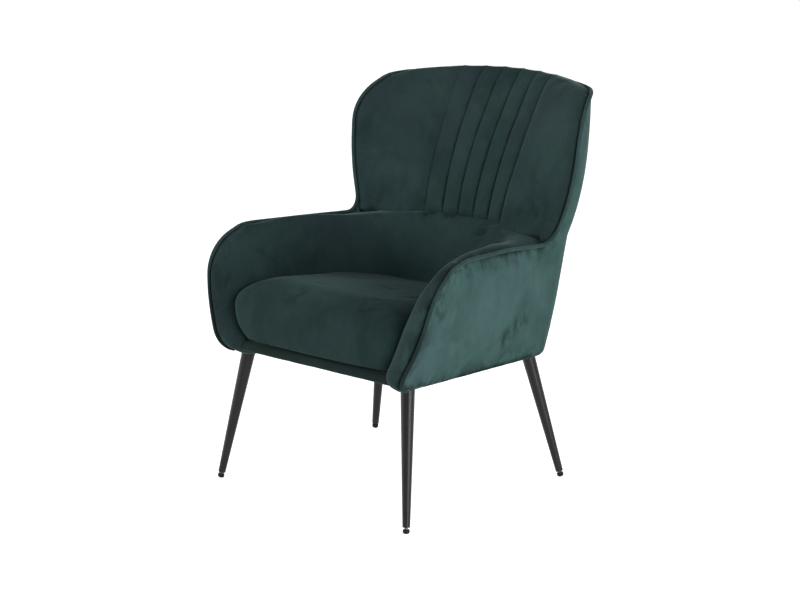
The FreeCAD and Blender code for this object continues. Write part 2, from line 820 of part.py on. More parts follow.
# Legs, with their plates, screws, threaded inserts and glides
class Leg:
    def __init__(self, foot, lean, plate, holes):
        self.foot, self.lean, self.plate, self.holes = foot, lean, plate, holes
        self.axis = V(-lean[0], lean[1], 1.0).normalize()

    def at(self, z):
        return V(self.foot[0] - self.lean[0] * z, self.foot[1] + self.lean[1] * z, z)

    def along(self, h):
        return V(self.foot[0], self.foot[1], 0.0) + self.axis * h

    def tube(self):
        top = plate_top - plate_thick
        spare = 14.0
        growth = (leg_radius_high - leg_radius_low) / (top - leg_end)
        base_point = self.at(leg_end)
        length = (top + spare - leg_end) / self.axis.z
        outer = Part.makeCone(leg_radius_low, leg_radius_high + growth * spare, length, base_point, self.axis)
        start = insert_length + 2.0
        hollow_low = leg_radius_low + growth * start * self.axis.z - leg_wall
        hollow = Part.makeCone(hollow_low, leg_radius_high + growth * spare - leg_wall, length - start,
                               base_point + self.axis * start, self.axis)
        bore = Part.makeCylinder(insert_radius + fit, start + 1.0, base_point, self.axis)
        return outer.cut(hollow).cut(bore).cut(box(0, 400, -400, 400, top, top + 60))

    def insert(self):
        base_point = self.at(leg_end)
        plug = Part.makeCylinder(insert_radius, insert_length, base_point, self.axis)
        start = base_point - self.axis * 2
        return plug.cut(Part.makeCylinder(stem_radius + fit, insert_length + 4, start, self.axis))

    def stem(self):
        low = 4.0
        high = leg_end / self.axis.z + insert_length + 2.0
        return Part.makeCylinder(stem_radius, high - low, self.along(low), self.axis)

    def pad(self):
        centre = glide_dome - dome_drop
        rim = centre - math.sqrt(glide_dome ** 2 - glide_radius ** 2)
        half = 0.5 * math.asin(glide_radius / glide_dome)
        bend = V(glide_dome * math.sin(half), 0, centre - glide_dome * math.cos(half))
        corners = [V(0, 0, -dome_drop), V(glide_radius, 0, rim), V(glide_radius, 0, glide_height - 1.0),
                   V(glide_radius - 1.0, 0, glide_height), V(0, 0, glide_height)]
        edges = [arc3(corners[0], bend, corners[1])]
        edges += [line3(corners[i], corners[(i + 1) % 5]) for i in range(1, 5)]
        solid = Part.Face(Part.Wire(edges)).revolve(V(0, 0, 0), V(0, 0, 1), 360)
        turn = FreeCAD.Rotation(V(0, 0, 1), self.axis)
        solid.Placement = FreeCAD.Placement(V(self.foot[0], self.foot[1], 0), turn)
        socket = Part.makeCylinder(stem_radius + 0.02, 30, self.along(4.0), self.axis)
        return solid.cut(socket).cut(box(0, 400, -400, 400, -30, 0))

    def plate_solid(self):
        x0, x1, y0, y1 = self.plate
        solid = box(x0, x1, y0, y1, plate_top - plate_thick, plate_top)
        for x, y in self.holes:
            solid = solid.cut(Part.makeCylinder(screw_radius + 0.2, 10, V(x, y, plate_top - 6)))
        return solid

    def screws(self):
        low = plate_top - plate_thick
        made = []
        for x, y in self.holes:
            shank = Part.makeCylinder(screw_radius, plate_thick + 1.2 + screw_depth, V(x, y, low - 1.0))
            head = Part.makeCylinder(head_radius, head_height, V(x, y, low - head_height))
            made.append(head.fuse(shank).removeSplitter())
        return made

    def drill(self, solid):
        for x, y in self.holes:
            hole = Part.makeCylinder(screw_radius + fit, screw_depth + 4.0, V(x, y, plate_top - 1.0))
            solid = solid.cut(hole)
        return solid


front_plate = (196.0, 252.5, frame_front_y, frame_front_y + 56.0)
front_holes = [(204, -172), (228, -172), (204, -212)]
front_leg = Leg(front_foot, front_lean, front_plate, front_holes)
rear_plate = (183.0, 235.0, 187.0, 239.0)
rear_holes = [(188, 192), (188, 234), (230, 192)]
rear_leg = Leg(rear_foot, rear_lean, rear_plate, rear_holes)
legs = {"front": front_leg, "rear": rear_leg}
plates = []
leg_screws = []
inserts = []
for place, leg in legs.items():
    for side in ("right", "left"):
        turned = mirrored if side == "left" else (lambda shape: shape)
        parts["leg_%s_%s" % (place, side)] = turned(leg.tube())
        parts["glide_stem_%s_%s" % (place, side)] = turned(leg.stem())
        parts["glide_pad_%s_%s" % (place, side)] = turned(leg.pad())
        plates.append(turned(leg.plate_solid()))
        leg_screws += [turned(screw) for screw in leg.screws()]
        inserts.append(turned(leg.insert()))
        dust_cover = dust_cover.cut(turned(Part.makeCompound(
            [Part.makeCylinder(screw_radius + 0.3, 8, V(x, y, plate_top - 3)) for x, y in leg.holes])))
parts["leg_plates"] = Part.makeCompound(plates)
parts["leg_screws"] = Part.makeCompound(leg_screws)
parts["leg_inserts"] = Part.makeCompound(inserts)
parts["dust_cover"] = dust_cover
side_rail = front_leg.drill(side_rail)
rear_block = rear_leg.drill(rear_block)

# Screws holding the arm panels to the side rails
panel_screws = []
screw_z = rail_bottom + 13.0
plan = shell(screw_z)
inward = V(-1.0 / plan.k, plan.b / plan.k, 0.0)
for i in range(3):
    x, y = plan.line(-150.0 + 130.0 * i, panel_in + 0.6)
    start = V(x, y, screw_z)
    head = Part.makeCylinder(head_radius, head_height, start, inward)
    shank = Part.makeCylinder(screw_radius, 36.0, start + inward, inward)
    panel_screws.append(head.fuse(shank).removeSplitter())
    sink = Part.makeCylinder(head_radius + fit, head_height + 5.0 + fit, start - inward * 5.0, inward)
    arm_panel = arm_panel.cut(sink)
    hole = Part.makeCylinder(screw_radius + fit, 40.0, start, inward)
    arm_panel = arm_panel.cut(hole)
    side_rail = side_rail.cut(hole)
parts["arm_panel_screws"] = Part.makeCompound(panel_screws + [mirrored(screw) for screw in panel_screws])

for name, shape in (("corner_post", post), ("arm_panel", arm_panel), ("side_rail", side_rail)):
    parts[name + "_right"] = shape
    parts[name + "_left"] = mirrored(shape)
parts["crest_rail"] = crest_rail_solid(0.0)
parts["lumbar_rail"] = lumbar_rail_solid(0.0)
parts["rear_rail"] = rear_rail
parts["front_rail"] = front_rail
parts["rear_corner_blocks"] = Part.makeCompound([rear_block, mirrored(rear_block)])
parts["front_corner_blocks"] = Part.makeCompound([front_block, mirrored(front_block)])
parts["seat_webbing_lengthwise"] = Part.makeCompound(lengthwise)
parts["seat_webbing_crosswise"] = Part.makeCompound(crosswise)
parts["back_webbing"] = Part.makeCompound(back_straps)

# Piping: a tube just outside the outline, on the outer covers' edge
piping_out = piping_radius + 0.8
piping_in = cloth / 2.0


def outline_points():
    points = []
    last = None
    for arc, sign in ((toe_arc, 1.0), (shoulder_arc, 1.0), (foot_arc, -1.0), (top_arc, 1.0)):
        centre = arc[3]
        angles = [math.atan2(p[1] - centre[1], p[0] - centre[0]) for p in (arc[0], arc[2])]
        turn = (angles[1] - angles[0] + math.pi) % (2.0 * math.pi) - math.pi
        r = math.hypot(arc[0][0] - centre[0], arc[0][1] - centre[1])
        if last:
            normal = unit(-(arc[0][1] - last[1]), arc[0][0] - last[0])
            for i in range(1, 8):
                y = last[0] + (arc[0][0] - last[0]) * i / 8.0
                z = last[1] + (arc[0][1] - last[1]) * i / 8.0
                points.append((y, z, normal))
        for i in range(9):
            angle = angles[0] + turn * i / 8.0
            outward = (sign * math.cos(angle), sign * math.sin(angle))
            points.append((centre[0] + r * math.cos(angle), centre[1] + r * math.sin(angle), outward))
        last = arc[2]
    return points


piping_points = []
for y, z, normal in outline_points():
    x = shell(z).x_at(y, piping_in)
    piping_points.append(V(x, y + normal[0] * piping_out, z + normal[1] * piping_out))
crest = Level(shell, wing_corner_height, crest_slope, wing_top_y)
crest_normal = unit(-crest_slope, 1.0)


def crest_point(p):
    z = wing_corner_height + crest_slope * (p[1] - wing_top_y)
    return V(p[0], p[1] + crest_normal[0] * piping_out, z + crest_normal[1] * piping_out)


start = crest.fraction(top_arc[2][0], piping_in)
for i in range(1, 17):
    piping_points.append(crest_point(crest.turn(start + (1.0 - start) * i / 16.0, piping_in)))
corner_x = crest.turn(1, piping_in)[0]
for i in range(1, 9):
    x = corner_x * (1.0 - i / 8.0)
    piping_points.append(crest_point(crest.pick(
        lambda p: (x, p.back_y - p.back_r + math.sqrt((p.back_r - piping_in) ** 2 - x * x)))))
piping_points += [V(-p.x, p.y, p.z) for p in reversed(piping_points[:-1])]


# Two tangent arcs between two points with given directions
def two_arcs(p, t, q, s):
    v = q - p
    denominator = 2.0 * (1.0 - t.dot(s))
    sums = v.dot(t + s)
    if denominator < 1e-6:
        d = v.dot(v) / (4.0 * v.dot(s))
    else:
        d = (-sums + math.sqrt(sums * sums + denominator * v.dot(v))) / denominator
    joint = (p + t * d + q - s * d) * 0.5
    return [half_arc(p, p + t * d, joint), half_arc(joint, q - s * d, q)]


def half_arc(p, pole, q):
    chord = (p + q) * 0.5
    rise = (pole - chord).Length
    reach = (q - p).Length / 2.0
    if rise < 1e-3:
        return line3(p, q)
    ratio = rise / reach
    sag = reach * (math.sqrt(1.0 + ratio * ratio) - 1.0) / ratio
    return arc3(p, chord + (pole - chord).normalize() * sag, q)


def run_of_arcs(points, step):
    picked = [i for i in range(0, len(points), step)]
    if picked[-1] != len(points) - 1:
        picked.append(len(points) - 1)
    tangents = []
    for i in picked:
        low, high = max(i - 1, 0), min(i + 1, len(points) - 1)
        tangents.append((points[high] - points[low]).normalize())
    edges = []
    for i in range(len(picked) - 1):
        edges += two_arcs(points[picked[i]], tangents[i], points[picked[i + 1]], tangents[i + 1])
    return Part.Wire(edges), tangents[0]


piping_path, piping_start = run_of_arcs(piping_points, 4)
across = piping_start.cross(V(1, 0, 0)).normalize()
piping_corners = []
for i in range(piping_sides + 1):
    angle = 2.0 * math.pi * i / piping_sides
    piping_corners.append(piping_points[0] + across * (piping_radius * math.cos(angle))
                          + across.cross(piping_start) * (piping_radius * math.sin(angle)))
piping_ring = Part.makePolygon(piping_corners)
parts["piping"] = piping_path.makePipeShell([piping_ring], True, False)

# Move the middle of the whole chair to y = 0 and write one file per piece
boxes = [shape.optimalBoundingBox(False) for shape in parts.values()]
middle = (min(b.YMin for b in boxes) + max(b.YMax for b in boxes)) / 2.0
for name, shape in parts.items():
    shape.translate(V(0, -middle, 0))
    shape.exportStep("parts/%s.step" % name)
print("middle", round(middle, 4), "x", round(max(b.XMax for b in boxes), 3),
      "y", round(min(b.YMin for b in boxes), 3), round(max(b.YMax for b in boxes), 3),
      "z", round(min(b.ZMin for b in boxes), 4), round(max(b.ZMax for b in boxes), 3))
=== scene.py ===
import math

import bmesh
import bpy
import numpy as np
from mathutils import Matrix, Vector, noise
from mathutils.geometry import delaunay_2d_cdt


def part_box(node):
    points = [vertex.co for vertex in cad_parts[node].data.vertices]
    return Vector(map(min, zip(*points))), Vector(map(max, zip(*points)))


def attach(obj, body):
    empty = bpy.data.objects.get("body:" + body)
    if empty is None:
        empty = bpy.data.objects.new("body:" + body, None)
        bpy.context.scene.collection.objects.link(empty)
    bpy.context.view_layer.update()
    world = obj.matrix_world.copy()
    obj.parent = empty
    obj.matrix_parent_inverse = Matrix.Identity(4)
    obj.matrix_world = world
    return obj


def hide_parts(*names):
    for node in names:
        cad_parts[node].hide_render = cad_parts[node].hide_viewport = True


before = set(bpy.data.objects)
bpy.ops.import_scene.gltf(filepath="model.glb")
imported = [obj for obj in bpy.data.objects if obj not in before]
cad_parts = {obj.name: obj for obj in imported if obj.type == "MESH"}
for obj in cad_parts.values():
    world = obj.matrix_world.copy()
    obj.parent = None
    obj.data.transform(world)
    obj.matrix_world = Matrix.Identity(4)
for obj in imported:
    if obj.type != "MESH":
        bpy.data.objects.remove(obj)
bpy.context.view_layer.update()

# Sizes of the upholstered shell in mm, as in the part's source
body_bottom, bottom_fall = 296.0, 0.014
arm_height, arm_rear_height = 560.0, 545.0
flare_top, wing_rise, corner_rise = 550.0, 330.0, 590.0
wing_corner_height, crest_slope = 839.0, 0.185
toe_y, shoulder_y, wing_foot_y, wing_top_y = -274.0, -223.0, 214.0, 250.0
toe_radius, shoulder_radius, wing_foot_radius, wing_top_radius = 42.0, 120.0, 50.0, 118.0
base_front_half, base_rear_half = 256.0, 265.0
arm_front_half, arm_rear_half = 332.0, 290.0
wing_gain, wing_splay = 62.0, 0.35
plan_front_y, plan_rear_y = -230.0, 200.0
corner_radius_low, corner_radius_high, back_radius = 110.0, 195.0, 900.0
back_low_y, back_rake, back_curl = 308.0, 0.285, 0.00009
inner_half_low, inner_half_gain = 226.0, 46.0
inner_rise, inner_taper, inner_taper_y = 220.0, 0.07, 200.0
inner_corner_radius, inner_back_radius = 150.0, 450.0
inner_back_y, inner_back_lean = 120.0, 0.52
pad_low_y, pad_lean, pad_curl, wing_edge = 259.0, 72.0, 92.0, 38.0
pad_low_z, pad_rise = 578.0, 308.0
band_rise, band_top = 0.26, 567.0
pleat_count, pleat_pitch_low, pleat_pitch_high = 5, 45.0, 52.0
seat_bottom, seat_top, seat_front_y, seat_level_y = 331.6, 459.0, -261.0, -200.0
seat_corner, seat_bow, seat_fall, seat_swell = 36.0, 7.0, 0.10, 3.0
seat_crown, seat_roll, seat_belly = 96.0, 124.0, 378.0
arm_roll, arm_roll_height = 31.0, 500.0
lumbar_roll, lumbar_roll_height, lumbar_bulge, bulge_bottom = 26.0, 505.0, 8.0, 425.0
crest_roll, crest_roll_height = 17.0, 770.0
pad_bottom, frame_front_y = 331.2, -221.0
lip_depth, piping_radius = 1.6, 3.4
arm_slope = (arm_rear_height - arm_height) / (wing_foot_y - shoulder_y)

# The frame's y = 0 is the middle of the chair: the dust cover's front edge gives the shift
middle = frame_front_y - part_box("dust_cover")[0].y * 1000.0


def ease(u, power):
    return 1.0 - (1.0 - min(max(u, 0.0), 1.0)) ** power


def smooth(u):
    u = min(max(u, 0.0), 1.0)
    return u * u * (3.0 - 2.0 * u)


# Rises from 0 to 1 past the start and falls back past the end, each over its own span
def window(value, start, start_span, end, end_span):
    return smooth((value - start) / start_span) * (1.0 - smooth((value - end) / end_span))


# A straight rise from 0 to 1 over a span, for a whole array
def fade(distance, span):
    return np.clip(distance / span, 0.0, 1.0)


def mix(a, b, t):
    return a + (b - a) * t


def unit(x, y):
    size = math.hypot(x, y)
    return x / size, y / size


# Plan curve: a side line, a rear corner arc and a bowed back arc, all tangent
class Plan:
    def __init__(self, a, b, corner, back_y, back_r):
        self.a, self.b, self.corner = a, b, corner
        self.back_y, self.back_r = back_y, back_r
        self.k = math.hypot(1.0, b)
        nx, ny = 1.0 / self.k, -b / self.k
        base = a / self.k - corner
        qx, qy = nx * base, ny * base - (back_y - back_r)
        along = qx * b / self.k + qy / self.k
        size = qx * qx + qy * qy - (back_r - corner) ** 2
        t = -along + math.sqrt(along * along - size)
        self.cx = nx * base + t * b / self.k
        self.cy = ny * base + t / self.k
        self.start = math.atan2(ny, nx)
        self.end = math.atan2(self.cy - back_y + back_r, self.cx)

    def line(self, y, d):
        return self.a + self.b * y - d * self.k, y

    def turn(self, f, d):
        angle = self.start + f * (self.end - self.start)
        r = self.corner - d
        return self.cx + r * math.cos(angle), self.cy + r * math.sin(angle)

    # Along the back: t = 0 at the corner's end, 1 in the middle
    def rear(self, t, d):
        angle = mix(self.end, math.pi / 2.0, t)
        r = self.back_r - d
        return r * math.cos(angle), self.back_y - self.back_r + r * math.sin(angle)

    def x_at(self, y, d):
        if y <= self.turn(0.0, d)[1]:
            return self.line(y, d)[0]
        r = self.corner - d
        return self.cx + math.sqrt(max(r * r - (y - self.cy) ** 2, 0.0))

    def fraction(self, y, d):
        rise = min(max((y - self.cy) / (self.corner - d), -1.0), 1.0)
        return (math.asin(rise) - self.start) / (self.end - self.start)


def shell(z):
    low = (z - body_bottom) / (flare_top - body_bottom)
    high = (z - flare_top) / wing_rise
    front = mix(base_front_half, arm_front_half, ease(low, 2.0))
    level = mix(base_rear_half, arm_rear_half, min(low, 1.0))
    b = (level - front) / (plan_rear_y - plan_front_y) - wing_splay * ease(high, 1.5)
    rear = level + wing_gain * ease(high, 2.5)
    rise = z - body_bottom
    corner = mix(corner_radius_low, corner_radius_high, smooth(rise / corner_rise))
    back_y = back_low_y + back_rake * rise - back_curl * rise * rise
    return Plan(rear - b * plan_rear_y, b, corner, back_y, back_radius)


def inside(z):
    u = (z - seat_bottom) / inner_rise
    b = -inner_taper * u
    half = inner_half_low + inner_half_gain * ease(u, 1.5)
    back_y = inner_back_y + inner_back_lean * (z - seat_bottom)
    return Plan(half + b * inner_taper_y, b, inner_corner_radius, back_y, inner_back_radius)


# Point of a surface on the level plane z + k (y - ref)
def on_level(surface, choose, z, k, ref):
    height = z
    for _ in range(6):
        x, y = choose(surface(height))
        height = z + k * (y - ref)
    return x, y, height


def on_crest(choose, level=wing_corner_height):
    return on_level(shell, choose, level, crest_slope, wing_top_y)


def on_hem(choose):
    return on_level(shell, choose, body_bottom, -bottom_fall, toe_y)


# Points along the crest, from a fraction of the corner's arc to the middle of the back
def crest_line(start, depth, steps, level=wing_corner_height):
    ways = [lambda p, f=mix(start, 1.0, i / steps): p.turn(f, depth) for i in range(1, steps + 1)]
    ways += [lambda p, t=i / steps: p.rear(t, depth) for i in range(1, steps + 1)]
    return [on_crest(way, level) for way in ways]


# Rounded corner of the side outline: tangent points, middle, centre
def rounded(before, at, after, r):
    ax, ay = unit(before[0] - at[0], before[1] - at[1])
    bx, by = unit(after[0] - at[0], after[1] - at[1])
    half = math.acos(ax * bx + ay * by) / 2.0
    reach = r / math.tan(half)
    mx, my = unit(ax + bx, ay + by)
    far = r / math.sin(half)
    centre = (at[0] + mx * far, at[1] + my * far)
    first = (at[0] + ax * reach, at[1] + ay * reach)
    last = (at[0] + bx * reach, at[1] + by * reach)
    return first, (centre[0] - mx * r, centre[1] - my * r), last, centre


def crest_z(y):
    return wing_corner_height + crest_slope * (y - wing_top_y)


def hem_z(y):
    return body_bottom - bottom_fall * (y - toe_y)


far_rear = 700.0
heel = (far_rear, hem_z(far_rear))
toe = (toe_y, body_bottom)
shoulder = (shoulder_y, arm_height)
wing_foot = (wing_foot_y, arm_rear_height)
wing_top = (wing_top_y, wing_corner_height)
crest_end = (far_rear, crest_z(far_rear))
toe_arc = rounded(heel, toe, shoulder, toe_radius)
shoulder_arc = rounded(toe, shoulder, wing_foot, shoulder_radius)
foot_arc = rounded(shoulder, wing_foot, wing_top, wing_foot_radius)
top_arc = rounded(wing_foot, wing_top, crest_end, wing_top_radius)


# Front edge of the shell where a level plane meets a rounded corner of the outline
def edge_y(z, k, ref, arc, below):
    centre, first = arc[3], arc[0]
    r = math.hypot(arc[1][0] - centre[0], arc[1][1] - centre[1])
    lean = (first[0] - below[0]) / (first[1] - below[1])

    def y_of(height):
        if height <= first[1]:
            return first[0] + lean * (height - first[1])
        rise = min(height - centre[1], r * 0.9999)
        return centre[0] - math.sqrt(r * r - rise * rise)
    low, high = z - 120.0, arc[2][1]
    for _ in range(40):
        mid = (low + high) / 2.0
        if mid < z + k * (y_of(mid) - ref):
            low = mid
        else:
            high = mid
    return y_of(low)


def toe_front(z):
    _, _, last, centre = toe_arc
    if z >= last[1]:
        return mix(last[0], shoulder[0], (z - last[1]) / (shoulder[1] - last[1]))
    rise = min(centre[1] - z, toe_radius * 0.9999)
    return centre[0] - math.sqrt(toe_radius ** 2 - rise ** 2)


# Points of the side outline from the toe to the crest, with outward normals in the y-z plane
def outline(arc_steps, line_step):
    points, last = [], None
    for arc, sign in ((toe_arc, 1.0), (shoulder_arc, 1.0), (foot_arc, -1.0), (top_arc, 1.0)):
        first, _, end, centre = arc
        angles = [math.atan2(p[1] - centre[1], p[0] - centre[0]) for p in (first, end)]
        turn = (angles[1] - angles[0] + math.pi) % (2.0 * math.pi) - math.pi
        r = math.hypot(first[0] - centre[0], first[1] - centre[1])
        if last:
            normal = unit(-(first[1] - last[1]), first[0] - last[0])
            count = max(int(math.dist(last, first) / line_step), 1)
            for i in range(1, count):
                points.append((mix(last[0], first[0], i / count), mix(last[1], first[1], i / count), normal))
        for i in range(arc_steps + 1):
            angle = angles[0] + turn * i / arc_steps
            outward = (sign * math.cos(angle), sign * math.sin(angle))
            points.append((centre[0] + r * math.cos(angle), centre[1] + r * math.sin(angle), outward))
        last = end
    return points


# Arc through three points, at fraction t
def arc_at(a, m, b, t):
    ax, ay = a
    bx, by = m[0] - ax, m[1] - ay
    cx, cy = b[0] - ax, b[1] - ay
    d = 2.0 * (bx * cy - by * cx)
    if abs(d) < 1e-6:
        return mix(ax, b[0], t), mix(ay, b[1], t)
    ux = (cy * (bx * bx + by * by) - by * (cx * cx + cy * cy)) / d
    uy = (bx * (cx * cx + cy * cy) - cx * (bx * bx + by * by)) / d
    r = math.hypot(ux, uy)
    start = math.atan2(-uy, -ux)
    mid = math.atan2(by - uy, bx - ux)
    end = math.atan2(cy - uy, cx - ux)
    turn = (end - start) % (2.0 * math.pi)
    if (mid - start) % (2.0 * math.pi) > turn:
        turn -= 2.0 * math.pi
    angle = start + turn * t
    return ax + ux + r * math.cos(angle), ay + uy + r * math.sin(angle)


def ripple(p, size, seed=0.0):
    return noise.noise(Vector((p[0] / size + seed, p[1] / size + seed * 1.7, p[2] / size - seed)))


# Turns points in mm of the building frame into a mesh object; gaps are distances to the nearest seam
def make_object(name, points, faces, material, gaps=None):
    mesh = bpy.data.meshes.new(name)
    mesh.from_pydata([(x * 0.001, (y - middle) * 0.001, z * 0.001) for x, y, z in points], [], faces)
    if gaps is not None:
        for layer, width, power in (("groove", 3.0, 2.0), ("rub", 20.0, 1.0)):
            values = np.exp(-(np.maximum(np.asarray(gaps, dtype=float), 0.0) / width) ** power)
            mesh.attributes.new(layer, "FLOAT", "POINT").data.foreach_set("value", values)
    mesh.validate()
    for polygon in mesh.polygons:
        polygon.use_smooth = True
    mesh.materials.append(material)
    obj = bpy.data.objects.new(name, mesh)
    bpy.context.scene.collection.objects.link(obj)
    return obj


def grid_faces(rows, columns, wrap=False):
    faces = []
    width = columns if wrap else columns - 1
    for i in range(rows - 1):
        for j in range(width):
            n = (j + 1) % columns
            faces.append((i * columns + j, i * columns + n, (i + 1) * columns + n, (i + 1) * columns + j))
    return faces


# Faces of a closed run of equal sections, with both ends capped
def run_faces(rows, columns):
    caps = [tuple(range(columns)), tuple(range((rows - 1) * columns, rows * columns))]
    return grid_faces(rows, columns, True) + caps


def recalc(obj):
    bm = bmesh.new()
    bm.from_mesh(obj.data)
    bmesh.ops.remove_doubles(bm, verts=bm.verts, dist=0.00002)
    bmesh.ops.recalc_face_normals(bm, faces=bm.faces)
    bm.to_mesh(obj.data)
    bm.free()


# Makes the faces of an open sheet agree, and turns them towards a place in m
def face_towards(obj, target):
    recalc(obj)
    total = sum((Vector(target) - p.center).dot(p.normal) * p.area for p in obj.data.polygons)
    if total < 0.0:
        obj.data.flip_normals()


def thicken(obj, thickness, offset=-1.0):
    mod = obj.modifiers.new("solidify", "SOLIDIFY")
    mod.thickness, mod.offset = thickness, offset


# Materials
def new_material(name):
    material = bpy.data.materials.new(name)
    material.use_nodes = True
    tree = material.node_tree
    return material, tree.nodes, tree.links, tree.nodes["Principled BSDF"]


def add_node(nodes, kind, **values):
    node = nodes.new(kind)
    for key, value in values.items():
        if key in node.inputs:
            node.inputs[key].default_value = value
        else:
            setattr(node, key, value)
    return node


def ramp(nodes, stops):
    node = nodes.new("ShaderNodeValToRGB")
    elements = node.color_ramp.elements
    while len(elements) < len(stops):
        elements.new(0.5)
    for element, (place, colour) in zip(elements, stops):
        element.position = place
        element.color = (*colour, 1.0)
    return node


def scaled(colour, share):
    return (*(c * share for c in colour), 1.0)


# Velvet: brushed patches where the pile lies lighter, darker or bluer, pressed marks, spots of painted light
# and shade, dark seams, soft sheen
def velvet(name, dark, light, sheen, marks=(), patch=5.0, rubbed=0.35, cool=0.55, painted_light=()):
    material, nodes, links, shader = new_material(name)
    place = add_node(nodes, "ShaderNodeTexCoord").outputs["Object"]
    seams = add_node(nodes, "ShaderNodeAttribute", attribute_name="groove").outputs["Fac"]
    edges = add_node(nodes, "ShaderNodeAttribute", attribute_name="rub").outputs["Fac"]

    def span(value, low, high):
        node = add_node(nodes, "ShaderNodeMapRange", interpolation_type="SMOOTHSTEP",
                        **{"From Min": low, "From Max": high})
        links.new(value, node.inputs["Value"])
        return node.outputs["Result"]

    def cloud(scale, low, high, tall=1.0, distortion=0.0, detail=5.0):
        spread = add_node(nodes, "ShaderNodeMapping", Scale=(1.0, 1.0, tall))
        texture = add_node(nodes, "ShaderNodeTexNoise", Scale=scale, Detail=detail, Roughness=0.6,
                           Distortion=distortion)
        links.new(place, spread.inputs["Vector"])
        links.new(spread.outputs["Vector"], texture.inputs["Vector"])
        return span(texture.outputs["Fac"], low, high)

    def fill(pairs):
        for socket, value in pairs:
            if isinstance(value, (float, tuple)):
                socket.default_value = value
            else:
                links.new(value, socket)

    def sums(kind, a, b):
        node = add_node(nodes, "ShaderNodeMath", operation=kind)
        fill(zip(node.inputs, (a, b)))
        return node.outputs[0]

    def times(a, b):
        return sums("MULTIPLY", a, b)

    def shade(colour, factor, other, kind="MIX"):
        node = add_node(nodes, "ShaderNodeMix", data_type="RGBA", blend_type=kind)
        fill(((node.inputs[0], factor), (node.inputs[6], colour), (node.inputs[7], other)))
        return node.outputs[2]
    tone = sums("ADD", times(cloud(patch, 0.32, 0.68, distortion=1.2), 0.62),
                times(cloud(patch * 5.0, 0.3, 0.7, 0.5, 0.6), 0.38))
    colour = shade(scaled(dark, 1.0), tone, scaled(light, 1.0))
    half = [mix(a, b, 0.5) for a, b in zip(dark, light)]
    blue = (half[0] * 1.22, half[1] * 0.98, half[2] * 1.16, 1.0)
    colour = shade(colour, times(cloud(patch * 0.8, 0.45, 0.62, distortion=0.8), cool), blue)
    pressed = times(cloud(patch * 2.2, 0.52, 0.62, 0.6, 0.8), cloud(patch * 0.7, 0.45, 0.6))
    colour = shade(colour, times(pressed, 0.30), scaled(dark, 0.55))
    strokes = cloud(30.0, 0.42, 0.62, 0.45, 0.7)
    # Wide spots of painted light and shade first, then the marks in the pile, broken by brush strokes
    for spots, brushed in ((painted_light, False), (marks, True)):
        for spot, radius, strength in spots:
            away = add_node(nodes, "ShaderNodeVectorMath", operation="DISTANCE")
            away.inputs[1].default_value = spot
            links.new(place, away.inputs[0])
            near = span(away.outputs["Value"], radius, radius * 0.3)
            amount = times(near, strokes) if brushed else near
            tint = scaled(dark, 0.5) if strength > 0.0 else scaled(light, 1.35)
            colour = shade(colour, times(amount, abs(strength)), tint)
    rub = times(times(edges, cloud(26.0, 0.42, 0.60, 0.6, 0.6)), rubbed)
    colour = shade(colour, rub, scaled(dark, 0.4))
    colour = shade(colour, times(seams, 0.85), scaled(dark, 0.12))
    pile = cloud(1100.0, 0.2, 0.8, detail=2.0)
    colour = shade(colour, 0.16, pile, "OVERLAY")
    links.new(colour, shader.inputs["Base Color"])
    bump = add_node(nodes, "ShaderNodeBump", Strength=0.2, Distance=0.0004)
    links.new(pile, bump.inputs["Height"])
    links.new(bump.outputs["Normal"], shader.inputs["Normal"])
    shader.inputs["Roughness"].default_value = 0.9
    shader.inputs["Specular IOR Level"].default_value = 0.085
    shader.inputs["Sheen Weight"].default_value = sheen
    shader.inputs["Sheen Roughness"].default_value = 0.3
    shader.inputs["Sheen Tint"].default_value = (0.5, 0.75, 0.73, 1.0)
    return material


# Marks pressed into the pile, and a few of painted shade and highlight as noted: place in m, radius,
# strength (below zero: lighter)
# On the band, the first two are painted shade in the crease along the lumbar pad's top edge
BAND_MARKS = (((-0.1, 0.155, 0.56), 0.03, 0.9), ((-0.045, 0.17, 0.562), 0.03, 0.9),
              ((0.12, 0.13, 0.548), 0.05, 0.4), ((0.075, 0.125, 0.54), 0.04, 0.4),
              ((-0.289, -0.334, 0.45), 0.05, 0.5), ((-0.25, -0.324, 0.4), 0.05, 0.5))
PAD_MARKS = (((0.206, 0.172, 0.672), 0.032, 0.3), ((-0.229, 0.139, 0.585), 0.035, 0.7),
             ((0.215, 0.15, 0.6), 0.05, 0.5))
# On the seat, the last is lighter: partly a smear in the pile, partly a painted highlight on the top's front
SEAT_MARKS = (((-0.078, -0.3, 0.445), 0.05, 0.5), ((0.13, -0.29, 0.45), 0.06, 0.6),
              ((0.0, -0.25, 0.455), 0.1, -0.3))
SIDE_MARKS = (((0.276, -0.015, 0.357), 0.035, 0.95), ((0.279, 0.027, 0.38), 0.04, 0.9),
              ((0.325, -0.2, 0.545), 0.04, 0.8), ((0.318, -0.3, 0.48), 0.05, 0.9),
              ((0.324, -0.28, 0.52), 0.05, 0.9), ((0.308, -0.318, 0.43), 0.04, 0.8),
              ((0.312, -0.25, 0.55), 0.045, 0.9), ((0.3, -0.14, 0.552), 0.04, 0.8))

# Painted light and shade: wide, even spots made lighter where light falls or darker where shade lies, in the
# same form
# Seat: painted shade over the rear of the top, under the back, and on its right, under the right arm; a
# painted highlight on the top towards the front
SEAT_PAINTED_LIGHT_AND_SHADE = (((0.0, 0.06, 0.45), 0.30, 0.9), ((0.2, -0.1, 0.45), 0.15, 0.6),
               ((-0.06, -0.24, 0.48), 0.15, -0.6))
# Band: painted shade on the left arm's front, painted light on the lumbar pad's lower middle and on the
# right arm's front
BAND_PAINTED_LIGHT_AND_SHADE = (((-0.305, -0.34, 0.42), 0.13, 0.35), ((-0.08, 0.11, 0.50), 0.25, -0.3),
               ((0.29, -0.35, 0.42), 0.13, -0.5))
